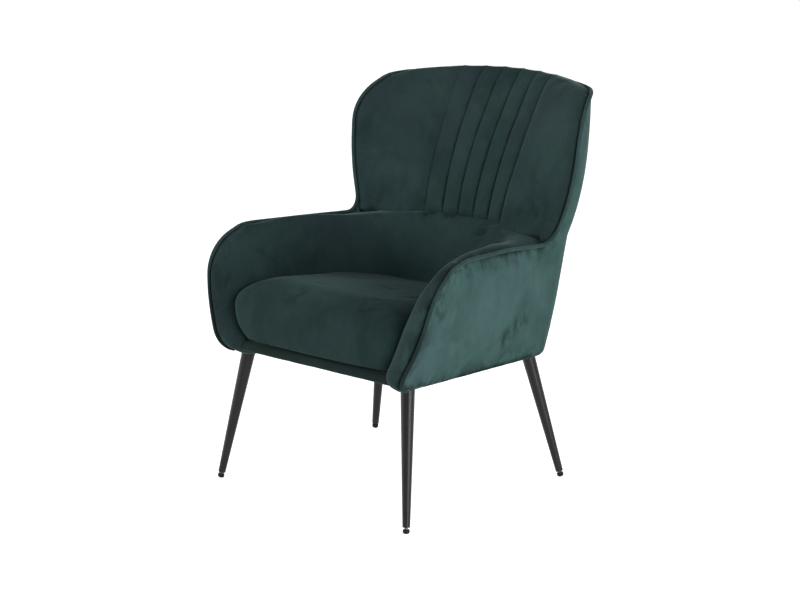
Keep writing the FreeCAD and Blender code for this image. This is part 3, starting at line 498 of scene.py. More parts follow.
# Piping: painted shade low down at both toes
PIPING_PAINTED_SHADE = (((0.275, -0.35, 0.36), 0.17, 0.9), ((-0.275, -0.35, 0.36), 0.17, 0.9))
# Back pad: painted light on the right wing's inner face
PAD_PAINTED_LIGHT = (((0.24, 0.19, 0.76), 0.13, -0.45),)

# Copies of the one velvet with their own base colours: painted shade makes the band, back pad and seat
# inside the chair darker, and the strip under the seat's front darker still; the outer panels are lighter,
# partly painted light and partly the lie of the pile; the piping lies between
band_velvet = velvet("velvet_band", (0.0114, 0.0250, 0.0254), (0.0222, 0.0430, 0.0424), 0.13, BAND_MARKS,
                     rubbed=0.75, painted_light=BAND_PAINTED_LIGHT_AND_SHADE)
strip_velvet = velvet("velvet_strip", (0.0062, 0.0138, 0.0128), (0.0118, 0.0232, 0.0212), 0.15)
pad_velvet = velvet("velvet_back", (0.0120, 0.0262, 0.0268), (0.0235, 0.0450, 0.0445), 0.25, PAD_MARKS,
                    painted_light=PAD_PAINTED_LIGHT)
seat_velvet = velvet("velvet_seat", (0.0096, 0.0232, 0.0226), (0.0184, 0.0392, 0.0376), 0.08, SEAT_MARKS,
                     cool=0.2, painted_light=SEAT_PAINTED_LIGHT_AND_SHADE)
outer_velvet = velvet("velvet_outer", (0.0265, 0.0585, 0.0550), (0.0450, 0.0945, 0.0900), 0.25, SIDE_MARKS,
                      patch=6.0, rubbed=0.95)
piping_velvet = velvet("velvet_piping", (0.0165, 0.0370, 0.0355), (0.0300, 0.0620, 0.0600), 0.25,
                       patch=9.0, painted_light=PIPING_PAINTED_SHADE)


def plain(name, low, high, roughness, metallic, scale, bump, gloss=0.5):
    material, nodes, links, shader = new_material(name)
    place = add_node(nodes, "ShaderNodeTexCoord")
    cloud = add_node(nodes, "ShaderNodeTexNoise", Scale=scale, Detail=6.0, Roughness=0.6)
    colour = ramp(nodes, [(0.3, low), (0.7, high)])
    polish = ramp(nodes, [(0.3, (roughness * 0.85,) * 3), (0.7, (roughness * 1.15,) * 3)])
    grain = add_node(nodes, "ShaderNodeTexNoise", Scale=scale * 25.0, Detail=3.0)
    dent = add_node(nodes, "ShaderNodeBump", Strength=0.25, Distance=bump)
    links.new(place.outputs["Object"], cloud.inputs["Vector"])
    links.new(place.outputs["Object"], grain.inputs["Vector"])
    links.new(cloud.outputs["Fac"], colour.inputs["Fac"])
    links.new(cloud.outputs["Fac"], polish.inputs["Fac"])
    links.new(grain.outputs["Fac"], dent.inputs["Height"])
    links.new(colour.outputs["Color"], shader.inputs["Base Color"])
    links.new(polish.outputs["Color"], shader.inputs["Roughness"])
    links.new(dent.outputs["Normal"], shader.inputs["Normal"])
    shader.inputs["Metallic"].default_value = metallic
    shader.inputs["Specular IOR Level"].default_value = gloss
    return material


leg_paint = plain("leg_paint", (0.0042, 0.0041, 0.0040), (0.0074, 0.0072, 0.0069), 0.31, 0.2, 30.0, 0.0001,
                  gloss=0.28)
steel = plain("bright_steel", (0.42, 0.42, 0.41), (0.58, 0.58, 0.57), 0.32, 1.0, 60.0, 0.0001)
stem_steel = plain("stem_steel", (0.07, 0.07, 0.069), (0.12, 0.12, 0.118), 0.3, 1.0, 60.0, 0.0001)
glide_plastic = plain("glide_plastic", (0.007, 0.007, 0.007), (0.012, 0.012, 0.0115), 0.5, 0.0, 90.0, 0.0002,
                      gloss=0.1)
dust_cloth = plain("dust_cloth", (0.010, 0.010, 0.011), (0.018, 0.018, 0.019), 0.9, 0.0, 120.0, 0.0004)
plywood = plain("plywood", (0.34, 0.22, 0.12), (0.50, 0.35, 0.21), 0.6, 0.0, 12.0, 0.0003)
strap_cloth = plain("strap_cloth", (0.014, 0.014, 0.015), (0.030, 0.030, 0.031), 0.85, 0.0, 150.0, 0.0005)
foam = plain("foam", (0.62, 0.56, 0.40), (0.72, 0.66, 0.50), 0.9, 0.0, 80.0, 0.0006)

NODE_MATERIALS = (("leg_plates", leg_paint), ("leg_screws", steel), ("leg_inserts", steel),
                  ("leg_", leg_paint), ("glide_stem", stem_steel), ("glide_pad", glide_plastic),
                  ("dust_cover", dust_cloth), ("arm_panel_screws", steel), ("seat_webbing", strap_cloth),
                  ("back_webbing", strap_cloth), ("seat_foam", foam), ("back_foam", foam),
                  ("lumbar_foam", foam), ("arm_foam", foam))
for node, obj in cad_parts.items():
    chosen = next((m for start, m in NODE_MATERIALS if node.startswith(start)), plywood)
    obj.data.materials.clear()
    obj.data.materials.append(chosen)

# Outer panels
corner_scale, seam_fraction = 220.0, 0.5
side_seam = seam_fraction * corner_scale
outer_thickness = 0.0036
arm_turn_in, arm_turn_rise = 13.0, 0.36
arm_turn_along, arm_turn_heights = (-205.0, 120.0, 30.0, 170.0), (522.0, 32.0, 575.0, 20.0)
arm_top_z = 550.0
crest_drop, crest_drop_y, crest_drop_span = 4.0, 340.0, 80.0
corner_raise, corner_raise_along = 3.5, (290.0, 40.0, 360.0, 60.0)
crest_fade_z, crest_fade_span = 760.0, 60.0


# Flat coordinates of a side panel: w runs back along the plan, zero where the corner starts
def flat_from(y, z):
    p = shell(z)
    start = p.turn(0.0, 0.0)[1]
    if y <= start:
        return y - start
    return p.fraction(y, 0.0) * corner_scale


def side_place(w, z, d):
    p = shell(z)
    if w <= 0.0:
        return p.line(p.turn(0.0, 0.0)[1] + w, d)
    return p.turn(w / corner_scale, d)


# The covers turn in over the arm's top: how far, in mm, at a place along the arm
def arm_inset(y, z):
    return arm_turn_in * window(y, *arm_turn_along) * window(z, *arm_turn_heights)


# The crest's seam lies behind and below the rolled top of the back pad
def crest_lower(y, z):
    drop = crest_drop * smooth((y - crest_drop_y) / crest_drop_span)
    raised = corner_raise * window(y, *corner_raise_along)
    return (drop - raised) * smooth((z - crest_fade_z) / crest_fade_span)


# Depth of the outer cloth: tucked in and puckered at its seams, swollen between them
def cloth_depth(gap, pucker, wave):
    tuck = 0.6 * math.exp(-(gap / 5.0) ** 2)
    swell = 1.6 * (1.0 - math.exp(-gap / 45.0)) + wave
    return tuck + pucker * math.exp(-gap / 16.0) - swell + 0.8


def dress_panel(obj, node):
    thicken(obj, outer_thickness)
    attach(obj, "chair")
    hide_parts(node)


# Staggered points inside a closed outline, clear of its edge
def lattice(edge, step, margin, clear):
    ax, az = edge[:, 0], edge[:, 1]
    bx, bz = np.roll(ax, -1), np.roll(az, -1)
    points = []
    for i in range(int((az.max() - az.min()) / step) + 1):
        z = az.min() + i * step
        crossing = (az > z) != (bz > z)
        cuts = np.sort(ax[crossing] + (z - az[crossing]) * (bx - ax)[crossing] / (bz - az)[crossing])
        for first, last in zip(cuts[0:-1:2], cuts[1::2]):
            w = ax.min() + 0.5 * step * (i % 2)
            while w < last - margin:
                if w > first + margin and np.min(np.hypot(ax - w, az - z)) > clear:
                    points.append((w, z))
                w += step
    return points


# Closed outline of a side panel: front edge, crest, rear seam, hem
def side_loop():
    loop = [(flat_from(y, z), z - crest_lower(y, z)) for y, z, _ in outline(14, 9.0)]
    start = loop[-1][0]
    for i in range(1, 11):
        f = mix(start, side_seam, i / 10.0) / corner_scale
        _, y, z = on_crest(lambda p: p.turn(f, 0.0))
        loop.append((f * corner_scale, z - crest_lower(y, z)))
    high, low = loop[-1][1], on_hem(lambda p: p.turn(seam_fraction, 0.0))[2]
    loop += [(side_seam, mix(high, low, i / 70.0)) for i in range(1, 70)]
    for i in range(12):
        f = seam_fraction * (1.0 - i / 12.0)
        loop.append((f * corner_scale, on_hem(lambda p: p.turn(f, 0.0))[2]))
    corner_y = shell(body_bottom).turn(0.0, 0.0)[1]
    for i in range(1, 50):
        y = mix(corner_y, toe_arc[0][0], i / 50.0)
        loop.append((flat_from(y, hem_z(y)), hem_z(y)))
    return loop


def side_panel(name, sign, node):
    loop = side_loop()
    edge = np.array(loop)
    flat = [Vector(p) for p in loop + lattice(edge, 7.0, 3.0, 3.2)]
    verts, _, faces, _, _, _ = delaunay_2d_cdt(flat, [], [list(range(len(loop)))], 1, 1e-4)
    points, gaps = [], []
    for w, z in verts:
        gap = float(np.min(np.hypot(edge[:, 0] - w, edge[:, 1] - z)))
        gaps.append(gap - 4.0)
        turn = arm_inset(side_place(w, z, 0.0)[1], z)
        depth = cloth_depth(gap, 1.3 * ripple((w, z, 0.0), 16.0, 3.0), 1.4 * ripple((w, z, 0.0), 120.0, 8.0))
        x, y = side_place(w, z, depth + turn)
        points.append((sign * x, y, z + arm_turn_rise * turn))
    obj = make_object(name, points, [tuple(f) for f in faces], outer_velvet, gaps)
    face_towards(obj, (sign * 9.0, 0.0, 0.5))
    dress_panel(obj, node)


def back_panel():
    columns, rows = 150, 96
    bend, half_width = 0.45, 420.0
    points, gaps = [], []
    for i in range(rows):
        for j in range(columns):
            s = 2.0 * j / (columns - 1.0) - 1.0
            t = 1.0 - abs(s)

            def choose(p, d=0.0):
                if t < bend:
                    return p.turn(mix(seam_fraction, 1.0, t / bend), d)
                return p.rear((t - bend) / (1.0 - bend), d)
            low = on_hem(choose)[2]
            _, y, high = on_crest(choose)
            high -= crest_lower(y, high)
            z = mix(low, high, i / (rows - 1.0))
            gap = min(t * half_width, z - low, high - z)
            gaps.append(gap - 1.5)
            pucker = 1.0 * ripple((s * half_width, z, 5.0), 16.0, 4.0)
            wave = 1.2 * ripple((s * half_width, z, 2.0), 130.0, 9.0)
            x, y = choose(shell(z), cloth_depth(gap, pucker, wave))
            points.append((x if s >= 0.0 else -x, y, z))
    obj = make_object("outer_back", points, grid_faces(rows, columns), outer_velvet, gaps)
    face_towards(obj, (0.0, 9.0, 0.5))
    dress_panel(obj, "outer_back_cover")


side_panel("outer_side_right", 1.0, "outer_side_cover_right")
side_panel("outer_side_left", -1.0, "outer_side_cover_left")
back_panel()

# Piping along the whole edge
toe_skip, piping_out, piping_depth, piping_sides = 2, 0.6, -0.4, 14


def tube(name, path, radius, sides, material):
    points = []
    count = len(path)
    side = Vector((1.0, 0.0, 0.0))
    for i, p in enumerate(path):
        along = (Vector(path[min(i + 1, count - 1)]) - Vector(path[max(i - 1, 0)])).normalized()
        side = (side - along * side.dot(along)).normalized()
        other = along.cross(side)
        taper = mix(0.5, 1.0, smooth(min(i, count - 1 - i) / 9.0))
        r = radius * taper * (1.0 + 0.05 * ripple(p, 22.0, 1.0))
        for j in range(sides):
            angle = 2.0 * math.pi * j / sides
            points.append(tuple(Vector(p) + side * (r * math.cos(angle)) + other * (r * math.sin(angle))))
    return make_object(name, points, run_faces(count, sides), material)


def piping_path(out, depth):
    path = []
    for y, z, normal in outline(16, 8.0)[toe_skip:]:
        turn = arm_inset(y, z)
        high = z + normal[1] * out - crest_lower(y, z) + arm_turn_rise * turn
        path.append((shell(z).x_at(y, depth + turn), y + normal[0] * out, high))
    up_y, up_z = unit(-crest_slope, 1.0)
    start = shell(path[-1][2]).fraction(top_arc[2][0], depth)
    for x, y, z in crest_line(start, depth, 30):
        path.append((x, y + up_y * out, z + up_z * out - crest_lower(y, z)))
    return path + [(-x, y, z) for x, y, z in reversed(path[:-1])]


piping = tube("piping_welt", piping_path(piping_out, piping_depth), piping_radius + 0.8, piping_sides,
              piping_velvet)
recalc(piping)
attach(piping, "chair")
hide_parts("piping")

# Inner band: both arm pads and the lumbar pad as one upholstered piece
nose_count, side_count, bend_count, rear_count = 18, 64, 40, 46
nose_depth, nose_out, swell_run = 28.0, 5.0, 85.0
corner_cut, rear_roll_loss, front_roll, roll_power = 29.0, 0.6, 0.7, 0.75
lumbar_edge, lumbar_rise, arm_crown = 563.5, 0.09, 10.0
seat_middle_y, tuck_reach, tuck_drop = -40.0, 34.0, 6.0


# Height and inset at level v: straight up to 1, then over a roll to 2
def roll_level(v, low, start, high, size, power=1.0):
    if v < 1.0:
        return mix(low, start, v), 0.0
    theta = min(v - 1.0, 1.0) * math.pi / 2.0
    across = max(math.cos(theta), 0.0) ** power
    return start + (high - start) * math.sin(theta) ** power, size * (1.0 - across)


def arm_lean(z):
    return arm_slope * min(max((z - seat_bottom) / (arm_height - seat_bottom), 0.0), 1.0)


def arm_front(z):
    k = arm_lean(z)
    front = edge_y(min(z, arm_height - 2.0), k, shoulder_y, shoulder_arc, toe)
    return max(front, toe_front(z)), k


# Point of the inner surface: w = 0 follows the arm's levels, 1 the lumbar pad's
def band_point(choose, w, v, low, keep=1.0):
    za, ra = roll_level(v, low, arm_roll_height, arm_height + 1.0, arm_roll * keep, roll_power)
    zl, rl = roll_level(v, low, lumbar_roll_height, lumbar_edge, lumbar_roll, roll_power)
    ka = arm_lean(za)
    kl = lumbar_rise * max((zl - pad_bottom) / (lumbar_edge - pad_bottom), 0.0)
    u = max((zl - bulge_bottom) / (lumbar_edge - bulge_bottom), 0.0)
    rl -= lumbar_bulge * math.sin(math.pi * u)
    height = mix(za, zl, w)
    for _ in range(6):
        x, y = choose(inside(height), mix(ra, rl, w))
        height = mix(za + ka * (y - shoulder_y), zl + kl * (y - wing_top_y), w)
    return x, y, height, mix(ka, kl, w)


# The arm's front is fuller low down, on its inner side
def nose_swell(z):
    return 10.0 * smooth((480.0 - z) / 60.0) + 4.0 * smooth((360.0 - z) / 40.0)


# Stations of the right half of the band, from the outer lip of the arm's front to the middle of the back
def band_stations():
    runs = (("nose", nose_count), ("side", side_count), ("bend", bend_count), ("rear", rear_count))
    return [(kind, i / count) for kind, count in runs for i in range(count)] + [("rear", 1.0)]


# The pad's top fills its rear corners: it leans in towards the middle of the seat
def cut_corner(p, share, v):
    x, y, z, k = p
    away_x, away_y = unit(x, y - seat_middle_y)
    size = corner_cut * share * smooth((v - 0.3) / 1.3)
    return x - away_x * size, y - away_y * size, z - away_y * size * k


def band_row(v, stations):
    row = []
    over = smooth((v - 1.0) / 0.6)
    for kind, t in stations:
        low = pad_bottom
        if kind == "nose":
            low = body_bottom - 1.5 - 4.0 * smooth(t / 0.4)
        elif kind == "side":
            low = mix(body_bottom - 5.5, pad_bottom, smooth(t * 6.0))
        za, roll = roll_level(v, low, arm_roll_height, arm_height + 1.0, arm_roll * front_roll, roll_power)
        front, k = arm_front(za)
        inner = front + nose_depth
        if kind == "nose":
            turn = arm_inset(front, za)
            lip = on_level(shell, lambda p: (p.x_at(front, lip_depth + turn), front), za, k, shoulder_y)
            narrow = on_level(inside, lambda p: p.line(inner, nose_swell(za) - roll), za, k, shoulder_y)
            x, y = arc_at(lip[:2], ((lip[0] + narrow[0]) / 2.0, front - nose_out), narrow[:2], t)
            row.append((x, y, za + k * (y - shoulder_y) + arm_turn_rise * turn))
        elif kind == "side":
            keep = mix(front_roll, 1.0 - rear_roll_loss, smooth((t - 0.1) / 0.9))
            x, y, z, k = band_point(lambda p, r: p.line(mix(inner, p.turn(0.0, -r)[1], t), -r),
                                    0.0, v, low, keep)
            x -= nose_swell(z) * (1.0 - smooth((y - inner) / swell_run))
            z += (arm_turn_rise * arm_inset(y, arm_top_z) + arm_crown * smooth(t / 0.25)) * over
            row.append(cut_corner((x, y, z, k), 0.65 * smooth((t - 0.5) / 0.5), v))
        elif kind == "bend":
            blend = smooth((t - 0.02) / 0.75)
            x, y, z, k = band_point(lambda p, r: p.turn(t, -r), blend, v, low, 1.0 - rear_roll_loss)
            z += arm_crown * (1.0 - smooth(t / 0.6)) * over
            row.append(cut_corner((x, y, z, k), mix(0.65, 1.0, smooth(t / 0.6)), v))
        else:
            p = band_point(lambda p, r: p.rear(t, -r), 1.0, v, low)
            row.append(cut_corner(p, 1.0 - smooth(t / 0.6), v))
    return row


# Outer edge of the band's top: the arm's outer lip, then a line tucked under the back pad
def band_edge(stations, top):
    edge = []
    for (kind, t), p in zip(stations, top):
        y = mix(top[0][1], top[nose_count][1], t) if kind == "nose" else p[1]
        turn = arm_inset(y, arm_top_z)
        outer = on_level(shell, lambda q: (q.x_at(y, lip_depth + turn), y),
                         arm_height - 1.0, arm_slope, shoulder_y)
        if kind in ("nose", "side"):
            edge.append((outer[0], outer[1], outer[2] + arm_turn_rise * turn))
            continue
        w = smooth((t - 0.48) / 0.4) if kind == "bend" else 1.0
        away = (Vector(p) - Vector((0.0, seat_middle_y, p[2]))).normalized()
        cut = corner_cut * (1.0 - w * smooth(t * 2.0 if kind == "rear" else 0.0))
        tucked = Vector(p) + away * (tuck_reach + cut)
        tucked.z -= tuck_drop
        edge.append(tuple(Vector(outer).lerp(tucked, w)))
    return edge


def mirrored_rows(rows):
    return [row + [(-x, y, z) for x, y, z in reversed(row[:-1])] for row in rows]


# A fold in cloth: a long shallow hollow with a raised lip beside it
def fold(p, start, end, width, depth):
    a, b = Vector(start), Vector(end)
    q = Vector(p)
    along = b - a
    t = min(max((q - a).dot(along) / along.length_squared, 0.0), 1.0)
    away = (q - (a + along * t)).length / width
    end_fade = math.sin(math.pi * min(max(t, 0.04), 0.96)) ** 0.6
    return depth * end_fade * (math.exp(-away * away) - 0.55 * math.exp(-(away - 1.9) ** 2 * 1.2))


# Distance along a grid of points to the nearest of its two end columns and its last row
def rim_distance(grid):
    across = np.linalg.norm(np.diff(grid, axis=1), axis=2)
    from_left = np.concatenate([np.zeros((len(grid), 1)), np.cumsum(across, axis=1)], axis=1)
    from_right = from_left[:, -1:] - from_left
    down = np.linalg.norm(np.diff(grid, axis=0), axis=2)
    from_first = np.concatenate([np.zeros((1, grid.shape[1])), np.cumsum(down, axis=0)], axis=0)
    return np.minimum(np.minimum(from_left, from_right), from_first[-1:] - from_first)


# Evens out a grid of points where the weight is above zero, along its rows and, if asked, its columns
def relax(grid, weight, rounds, columns=True):
    grid = grid.copy()
    share = 0.5 * weight[1:-1, 1:-1, None]
    for _ in range(rounds):
        total, count = grid[1:-1, :-2] + grid[1:-1, 2:], 2
        if columns:
            total, count = total + grid[:-2, 1:-1] + grid[2:, 1:-1], 4
        grid[1:-1, 1:-1] += (total / count - grid[1:-1, 1:-1]) * share
    return grid


# Moves each point along the surface's normal, positive towards the target
def push(grid, amounts, target):
    normal = np.cross(np.gradient(grid, axis=1), np.gradient(grid, axis=0))
    for _ in range(4):
        wide = np.pad(normal, ((1, 1), (1, 1), (0, 0)), mode="edge")
        normal = (wide[:-2, 1:-1] + wide[2:, 1:-1] + wide[1:-1, :-2] + wide[1:-1, 2:] + normal) / 5.0
    normal /= np.maximum(np.linalg.norm(normal, axis=2, keepdims=True), 1e-9)
    if np.sum(normal * (np.array(target) - grid)) < 0.0:
        normal = -normal
    return grid + normal * amounts[:, :, None]


# How far the cloth lies off its form: ripples and folds where it isn't drawn calm, sunk along its rim
def cloth_moves(grid, rim, calm, waves, folds, sunk):
    moves = np.zeros(rim.shape)
    for i, j in np.ndindex(rim.shape):
        p = grid[i, j]
        moves[i, j] = sum(size * ripple(p, span, seed) for size, span, seed in waves)
        moves[i, j] -= sum(fold(p, *line) for line in folds)
    return moves * calm - sunk * np.exp(-(rim / 4.5) ** 2)


# Row numbers from the bottom and station numbers from the nearer end of a mirrored grid
def grid_places(grid):
    high, wide = grid.shape[:2]
    stations = np.arange(wide)
    return np.arange(high)[:, None], np.minimum(stations, stations[::-1])[None, :]


# Folds: start and end in mm, width, depth; waves: height, span, seed
BAND_WAVES = ((1.3, 90.0, 2.0), (0.6, 34.0, 6.0))
BAND_FOLDS = (
    ((118.0, 208.0, 552.0), (58.0, 222.0, 526.0), 6.0, 4.2),
    ((100.0, 212.0, 536.0), (36.0, 224.0, 547.0), 6.0, 3.6),
    ((232.0, 120.0, 520.0), (226.0, 60.0, 470.0), 11.0, 2.2),
    ((-232.0, 110.0, 520.0), (-226.0, 70.0, 480.0), 12.0, 2.0),
    ((-180.0, 190.0, 520.0), (-120.0, 215.0, 540.0), 9.0, 2.0),
)


def make_band():
    stations = band_stations()
    levels = [i / 30.0 for i in range(30)] + [1.0 + i / 22.0 for i in range(23)]
    rows = [band_row(v, stations) for v in levels]
    top = rows[-1]
    edge = band_edge(stations, top)
    for i in range(1, 15):
        t = i / 14.0
        rise = 2.2 * math.sin(math.pi * min(t * 1.1, 1.0)) - 2.5 * smooth((t - 0.7) / 0.3)
        rows.append([(mix(p[0], q[0], t), mix(p[1], q[1], t), mix(p[2], q[2], t) + rise)
                     for p, q in zip(top, edge)])
    grid = np.array(mirrored_rows(rows))
    row, place = grid_places(grid)
    side_end = nose_count + side_count
    bend_end = side_end + bend_count
    grid = relax(grid, fade(row - 26, 10.0) * fade(nose_count + 26 - place, 16.0), 60)
    grid = relax(grid, np.ones(grid.shape[:2]), 3)
    # The arm's flat top runs evenly into the corner
    along = fade(place - nose_count - 12, 10.0) * fade(bend_end - place, 10.0)
    grid = relax(grid, fade(row - 47, 5.0) * along, 70)
    arm_top = fade(row - 30, 8.0) * fade(place - nose_count + 10, 6.0) * fade(bend_end + 10 - place, 10.0)
    grid = relax(grid, arm_top, 80, columns=False)
    rim = rim_distance(grid)
    moves = cloth_moves(grid, rim, 1.0 - 0.8 * arm_top, BAND_WAVES, BAND_FOLDS, 3.4)
    grid = push(grid, moves, (0.0, -300.0, 900.0))
    hidden = (row > len(grid) - 8) & (place > side_end)
    gaps = np.where(hidden, 99.0, (rim - 4.0) * 0.7)
    # Painted shade: a dark line along the top edge of the lumbar pad, in the crease where it meets the back
    # pad
    clear = 60.0 * fade(side_end + 26 - place, 14.0)
    gaps = np.minimum(gaps, 3.6 + 2.4 * np.abs(row - 54.0) + clear)
    obj = make_object("inner_band", grid.reshape(-1, 3).tolist(), grid_faces(*grid.shape[:2]), band_velvet,
                      gaps.ravel())
    face_towards(obj, (0.0, -0.3, 0.9))
    return obj


# Upper back pad with its wings and sewn pleats
wing_count, plain_count, pleat_stations = 18, 46, 96
pleat_half = pleat_count / 2.0
low_bulge, crest_lift = 29.0, 13.0


def wing_front(z, k):
    last, centre = foot_arc[2], foot_arc[3]
    y = edge_y(z, k, wing_top_y, top_arc, wing_foot)
    height = z + k * (y - wing_top_y)
    if height < last[1]:
        drop = min(last[1] - height, wing_foot_radius * 0.8)
        y = centre[0] + math.sqrt(wing_foot_radius ** 2 - drop ** 2) - 2.0
    return y


def pad_face(z, k):
    y = pad_low_y
    for _ in range(10):
        t = (z + k * (y - wing_top_y) - pad_low_z) / pad_rise
        y = pad_low_y + pad_lean * t + pad_curl * t * abs(t)
    return y


# Rise of the cloth between the seams: full pleats in the middle, a flat field beside them
def pleat_height(x, pitch, fullness):
    phase = x / pitch + pleat_half
    if 0.0 <= phase <= pleat_count:
        across = abs(2.0 * (phase % 1.0) - 1.0)
        body = 7.5 * (1.0 - across ** 2.4)
        away = (1.0 - across) * pitch / 2.0
    else:
        away = abs(x) - pleat_half * pitch
        body = 6.0 * (1.0 - math.exp(-away / 14.0))
    outer = abs(x) > (pleat_half - 0.5) * pitch
    sunk, seam_gap = (1.0, 2.6) if outer else (2.0, 1.3)
    return (body - sunk * math.exp(-(away / 1.8) ** 2)) * fullness, away * 1.6 + seam_gap


def pad_row(v, low):
    z, roll = roll_level(v, low, crest_roll_height, wing_corner_height + 3.0, crest_roll)
    u = (z - band_top) / (wing_corner_height - band_top)
    k = mix(band_rise, crest_slope, min(u, 1.0))
    front = wing_front(min(z, wing_corner_height - 1.5), k) + max(z - wing_corner_height, 0.0) * 2.0
    rim = on_level(shell, lambda p: (p.x_at(front, lip_depth), front), z, k, wing_top_y)
    deep = pad_face(z, k) + roll
    tip = (rim[0] - wing_edge + 0.3 * roll, front + 7.0 + 0.25 * roll)
    nose = (rim[0] - 0.5 * wing_edge, front - 4.0 + 0.15 * roll)
    pitch = mix(pleat_pitch_low, pleat_pitch_high, u)
    field = pleat_half * pitch + 12.0
    fullness = smooth((z - band_top + 14.0) / 26.0) * (1.0 - 0.45 * max(min(roll / crest_roll, 1.0), 0.0))
    row = [arc_at(rim[:2], nose, tip, i / wing_count) for i in range(wing_count)]
    seams = [99.0] * wing_count
    spots = [mix(tip[0], field, i / plain_count) for i in range(plain_count)]
    spots += [mix(field, 0.0, i / pleat_stations) for i in range(pleat_stations + 1)]
    for x in spots:
        y = deep - (deep - tip[1]) * (x / tip[0]) ** 2
        beside = smooth((x - 80.0) / 110.0) * smooth((tip[0] + 5.0 - x) / 75.0)
        y -= low_bulge * beside * smooth((720.0 - z) / 150.0)
        rise, away = pleat_height(x, pitch, fullness)
        row.append((x, y - rise * smooth((tip[0] - abs(x)) / 60.0)))
        seams.append(away + 6.0 * (1.0 - fullness))
    return [(x, y, z + k * (y - wing_top_y)) for x, y in row], seams


# Crest edge of the pad, from the lip of the wing to the middle of the back
def pad_edge(top):
    lip, level = top[0], wing_corner_height - 1.0
    start = max(shell(lip[2]).fraction(lip[1], lip_depth), 0.0)
    seam = [on_crest(lambda p: p.turn(start, lip_depth), level)] + crest_line(start, lip_depth, 60, level)
    curve = [(x, y, z - crest_lower(y, z)) for x, y, z in seam]

    def shares(points):
        sizes = np.cumsum([0.0] + [math.dist(a, b) for a, b in zip(points, points[1:])])
        return sizes / sizes[-1]
    along, grid = shares(curve), np.array(curve)
    return [tuple(np.interp(s, along, grid[:, c]) for c in range(3)) for s in shares(top)]


PAD_WAVES = ((1.0, 110.0, 12.0), (0.4, 40.0, 16.0))
PAD_FOLDS = (
    ((262.0, 214.0, 690.0), (225.0, 226.0, 694.0), 5.0, 1.8),
    ((255.0, 190.0, 600.0), (215.0, 226.0, 612.0), 9.0, 2.4),
    ((-262.0, 190.0, 604.0), (-215.0, 226.0, 612.0), 9.0, 2.0),
    ((-180.0, 235.0, 600.0), (-150.0, 240.0, 612.0), 6.0, 1.8),
)

# The pad's lower edge turns in behind the band: drop, set-back and share of the width
PAD_HEM = ((40.0, 22.0, 0.92), (26.0, 14.0, 0.95), (13.0, 6.0, 0.98), (5.0, 1.8, 0.995))


def make_pad():
    levels = [i / 52.0 for i in range(52)] + [1.0 + i / 24.0 for i in range(25)]
    rows, seams = zip(*[pad_row(v, band_top + 0.4) for v in levels])
    grid = np.array(rows)
    wings = fade(wing_count + 30 - np.arange(grid.shape[1]), 14.0)
    grid = relax(grid, np.repeat(wings[None, :], len(grid), axis=0), 60, columns=False)
    # The top swells above the crest's seam, except at the wings' front edges
    sizes = np.linalg.norm(np.diff(grid, axis=1), axis=2).cumsum(axis=1)
    for i, j in np.ndindex(sizes.shape):
        _, y, z = grid[i, j + 1]
        grid[i, j + 1, 2] += crest_lift * smooth(1.0 - (crest_z(y) - z) / 70.0) * smooth(sizes[i, j] / 75.0)
    rows = [[tuple(p) for p in row] for row in grid]
    hem = [[(x * narrow, y + rear, z - down) for x, y, z in rows[0]] for down, rear, narrow in PAD_HEM]
    seams = [seams[0]] * len(hem) + list(seams)
    rows = hem + rows
    top = rows[-1]
    edge = pad_edge(top)
    for i in range(1, 15):
        t = i / 14.0
        rise = math.sqrt(max(1.0 - t ** 2.4, 0.0))
        rows.append([(mix(p[0], q[0], t), mix(p[1], q[1], t), mix(q[2], p[2], rise))
                     for p, q in zip(top, edge)])
        seams.append([a + 8.0 * i for a in seams[-1]])
    grid = np.array(mirrored_rows(rows))
    seams = np.array([row + row[-2::-1] for row in seams])
    row, place = grid_places(grid)
    upper = fade(row - len(grid) + 40, 16.0)
    grid = relax(grid, upper * fade(wing_count + 34 - place, 20.0), 60)
    rim = rim_distance(grid)
    moves = cloth_moves(grid, rim, 1.0 - 0.8 * upper, PAD_WAVES, PAD_FOLDS, 3.0)
    grid = push(grid, moves, (0.0, -1500.0, 900.0))
    gaps = np.minimum((rim - 4.0) * 0.7, np.where(seams > 9.0, 99.0, seams))
    obj = make_object("pleated_back", grid.reshape(-1, 3).tolist(), grid_faces(*grid.shape[:2]), pad_velvet,
                      gaps.ravel())
    face_towards(obj, (0.0, -1.5, 0.9))
    return obj


# Seat cushion
def seat_row(z, d, front):
    u = (z - seat_bottom) / (seat_top - seat_bottom)
    k = -seat_fall * max(min(u, 1.0), 0.0)
    d = d + 1.2

    def at(choose):
        return on_level(inside, choose, z, k, seat_level_y)
    centre_y = front + seat_corner
    centre_x = at(lambda p: p.line(centre_y, d))[0] - seat_corner
    shares = [i / 20.0 for i in range(20)]
    flat = [(mix(0.0, centre_x, t), front - seat_bow * (1.0 - t * t)) for t in shares]
    for i in range(14):
        angle = -math.pi / 2.0 + (math.pi / 2.0) * i / 14.0
        flat.append((centre_x + seat_corner * math.cos(angle), centre_y + seat_corner * math.sin(angle)))
    half = [(x, y, z + k * (y - seat_level_y)) for x, y in flat]
    for i in range(40):
        half.append(at(lambda p: p.line(mix(centre_y, p.turn(0.0, d)[1], i / 40.0), d)))
    half += [at(lambda p: p.turn(i / 24.0, d)) for i in range(24)]
    half += [at(lambda p: p.rear(i / 24.0, d)) for i in range(25)]
    return half + [(-x, y, z) for x, y, z in reversed(half[1:-1])]


def quarter(z, start):
    t = min(max((z - start) / (seat_top - start), 0.0), 1.0)
    return 1.0 - math.sqrt(1.0 - t * t)


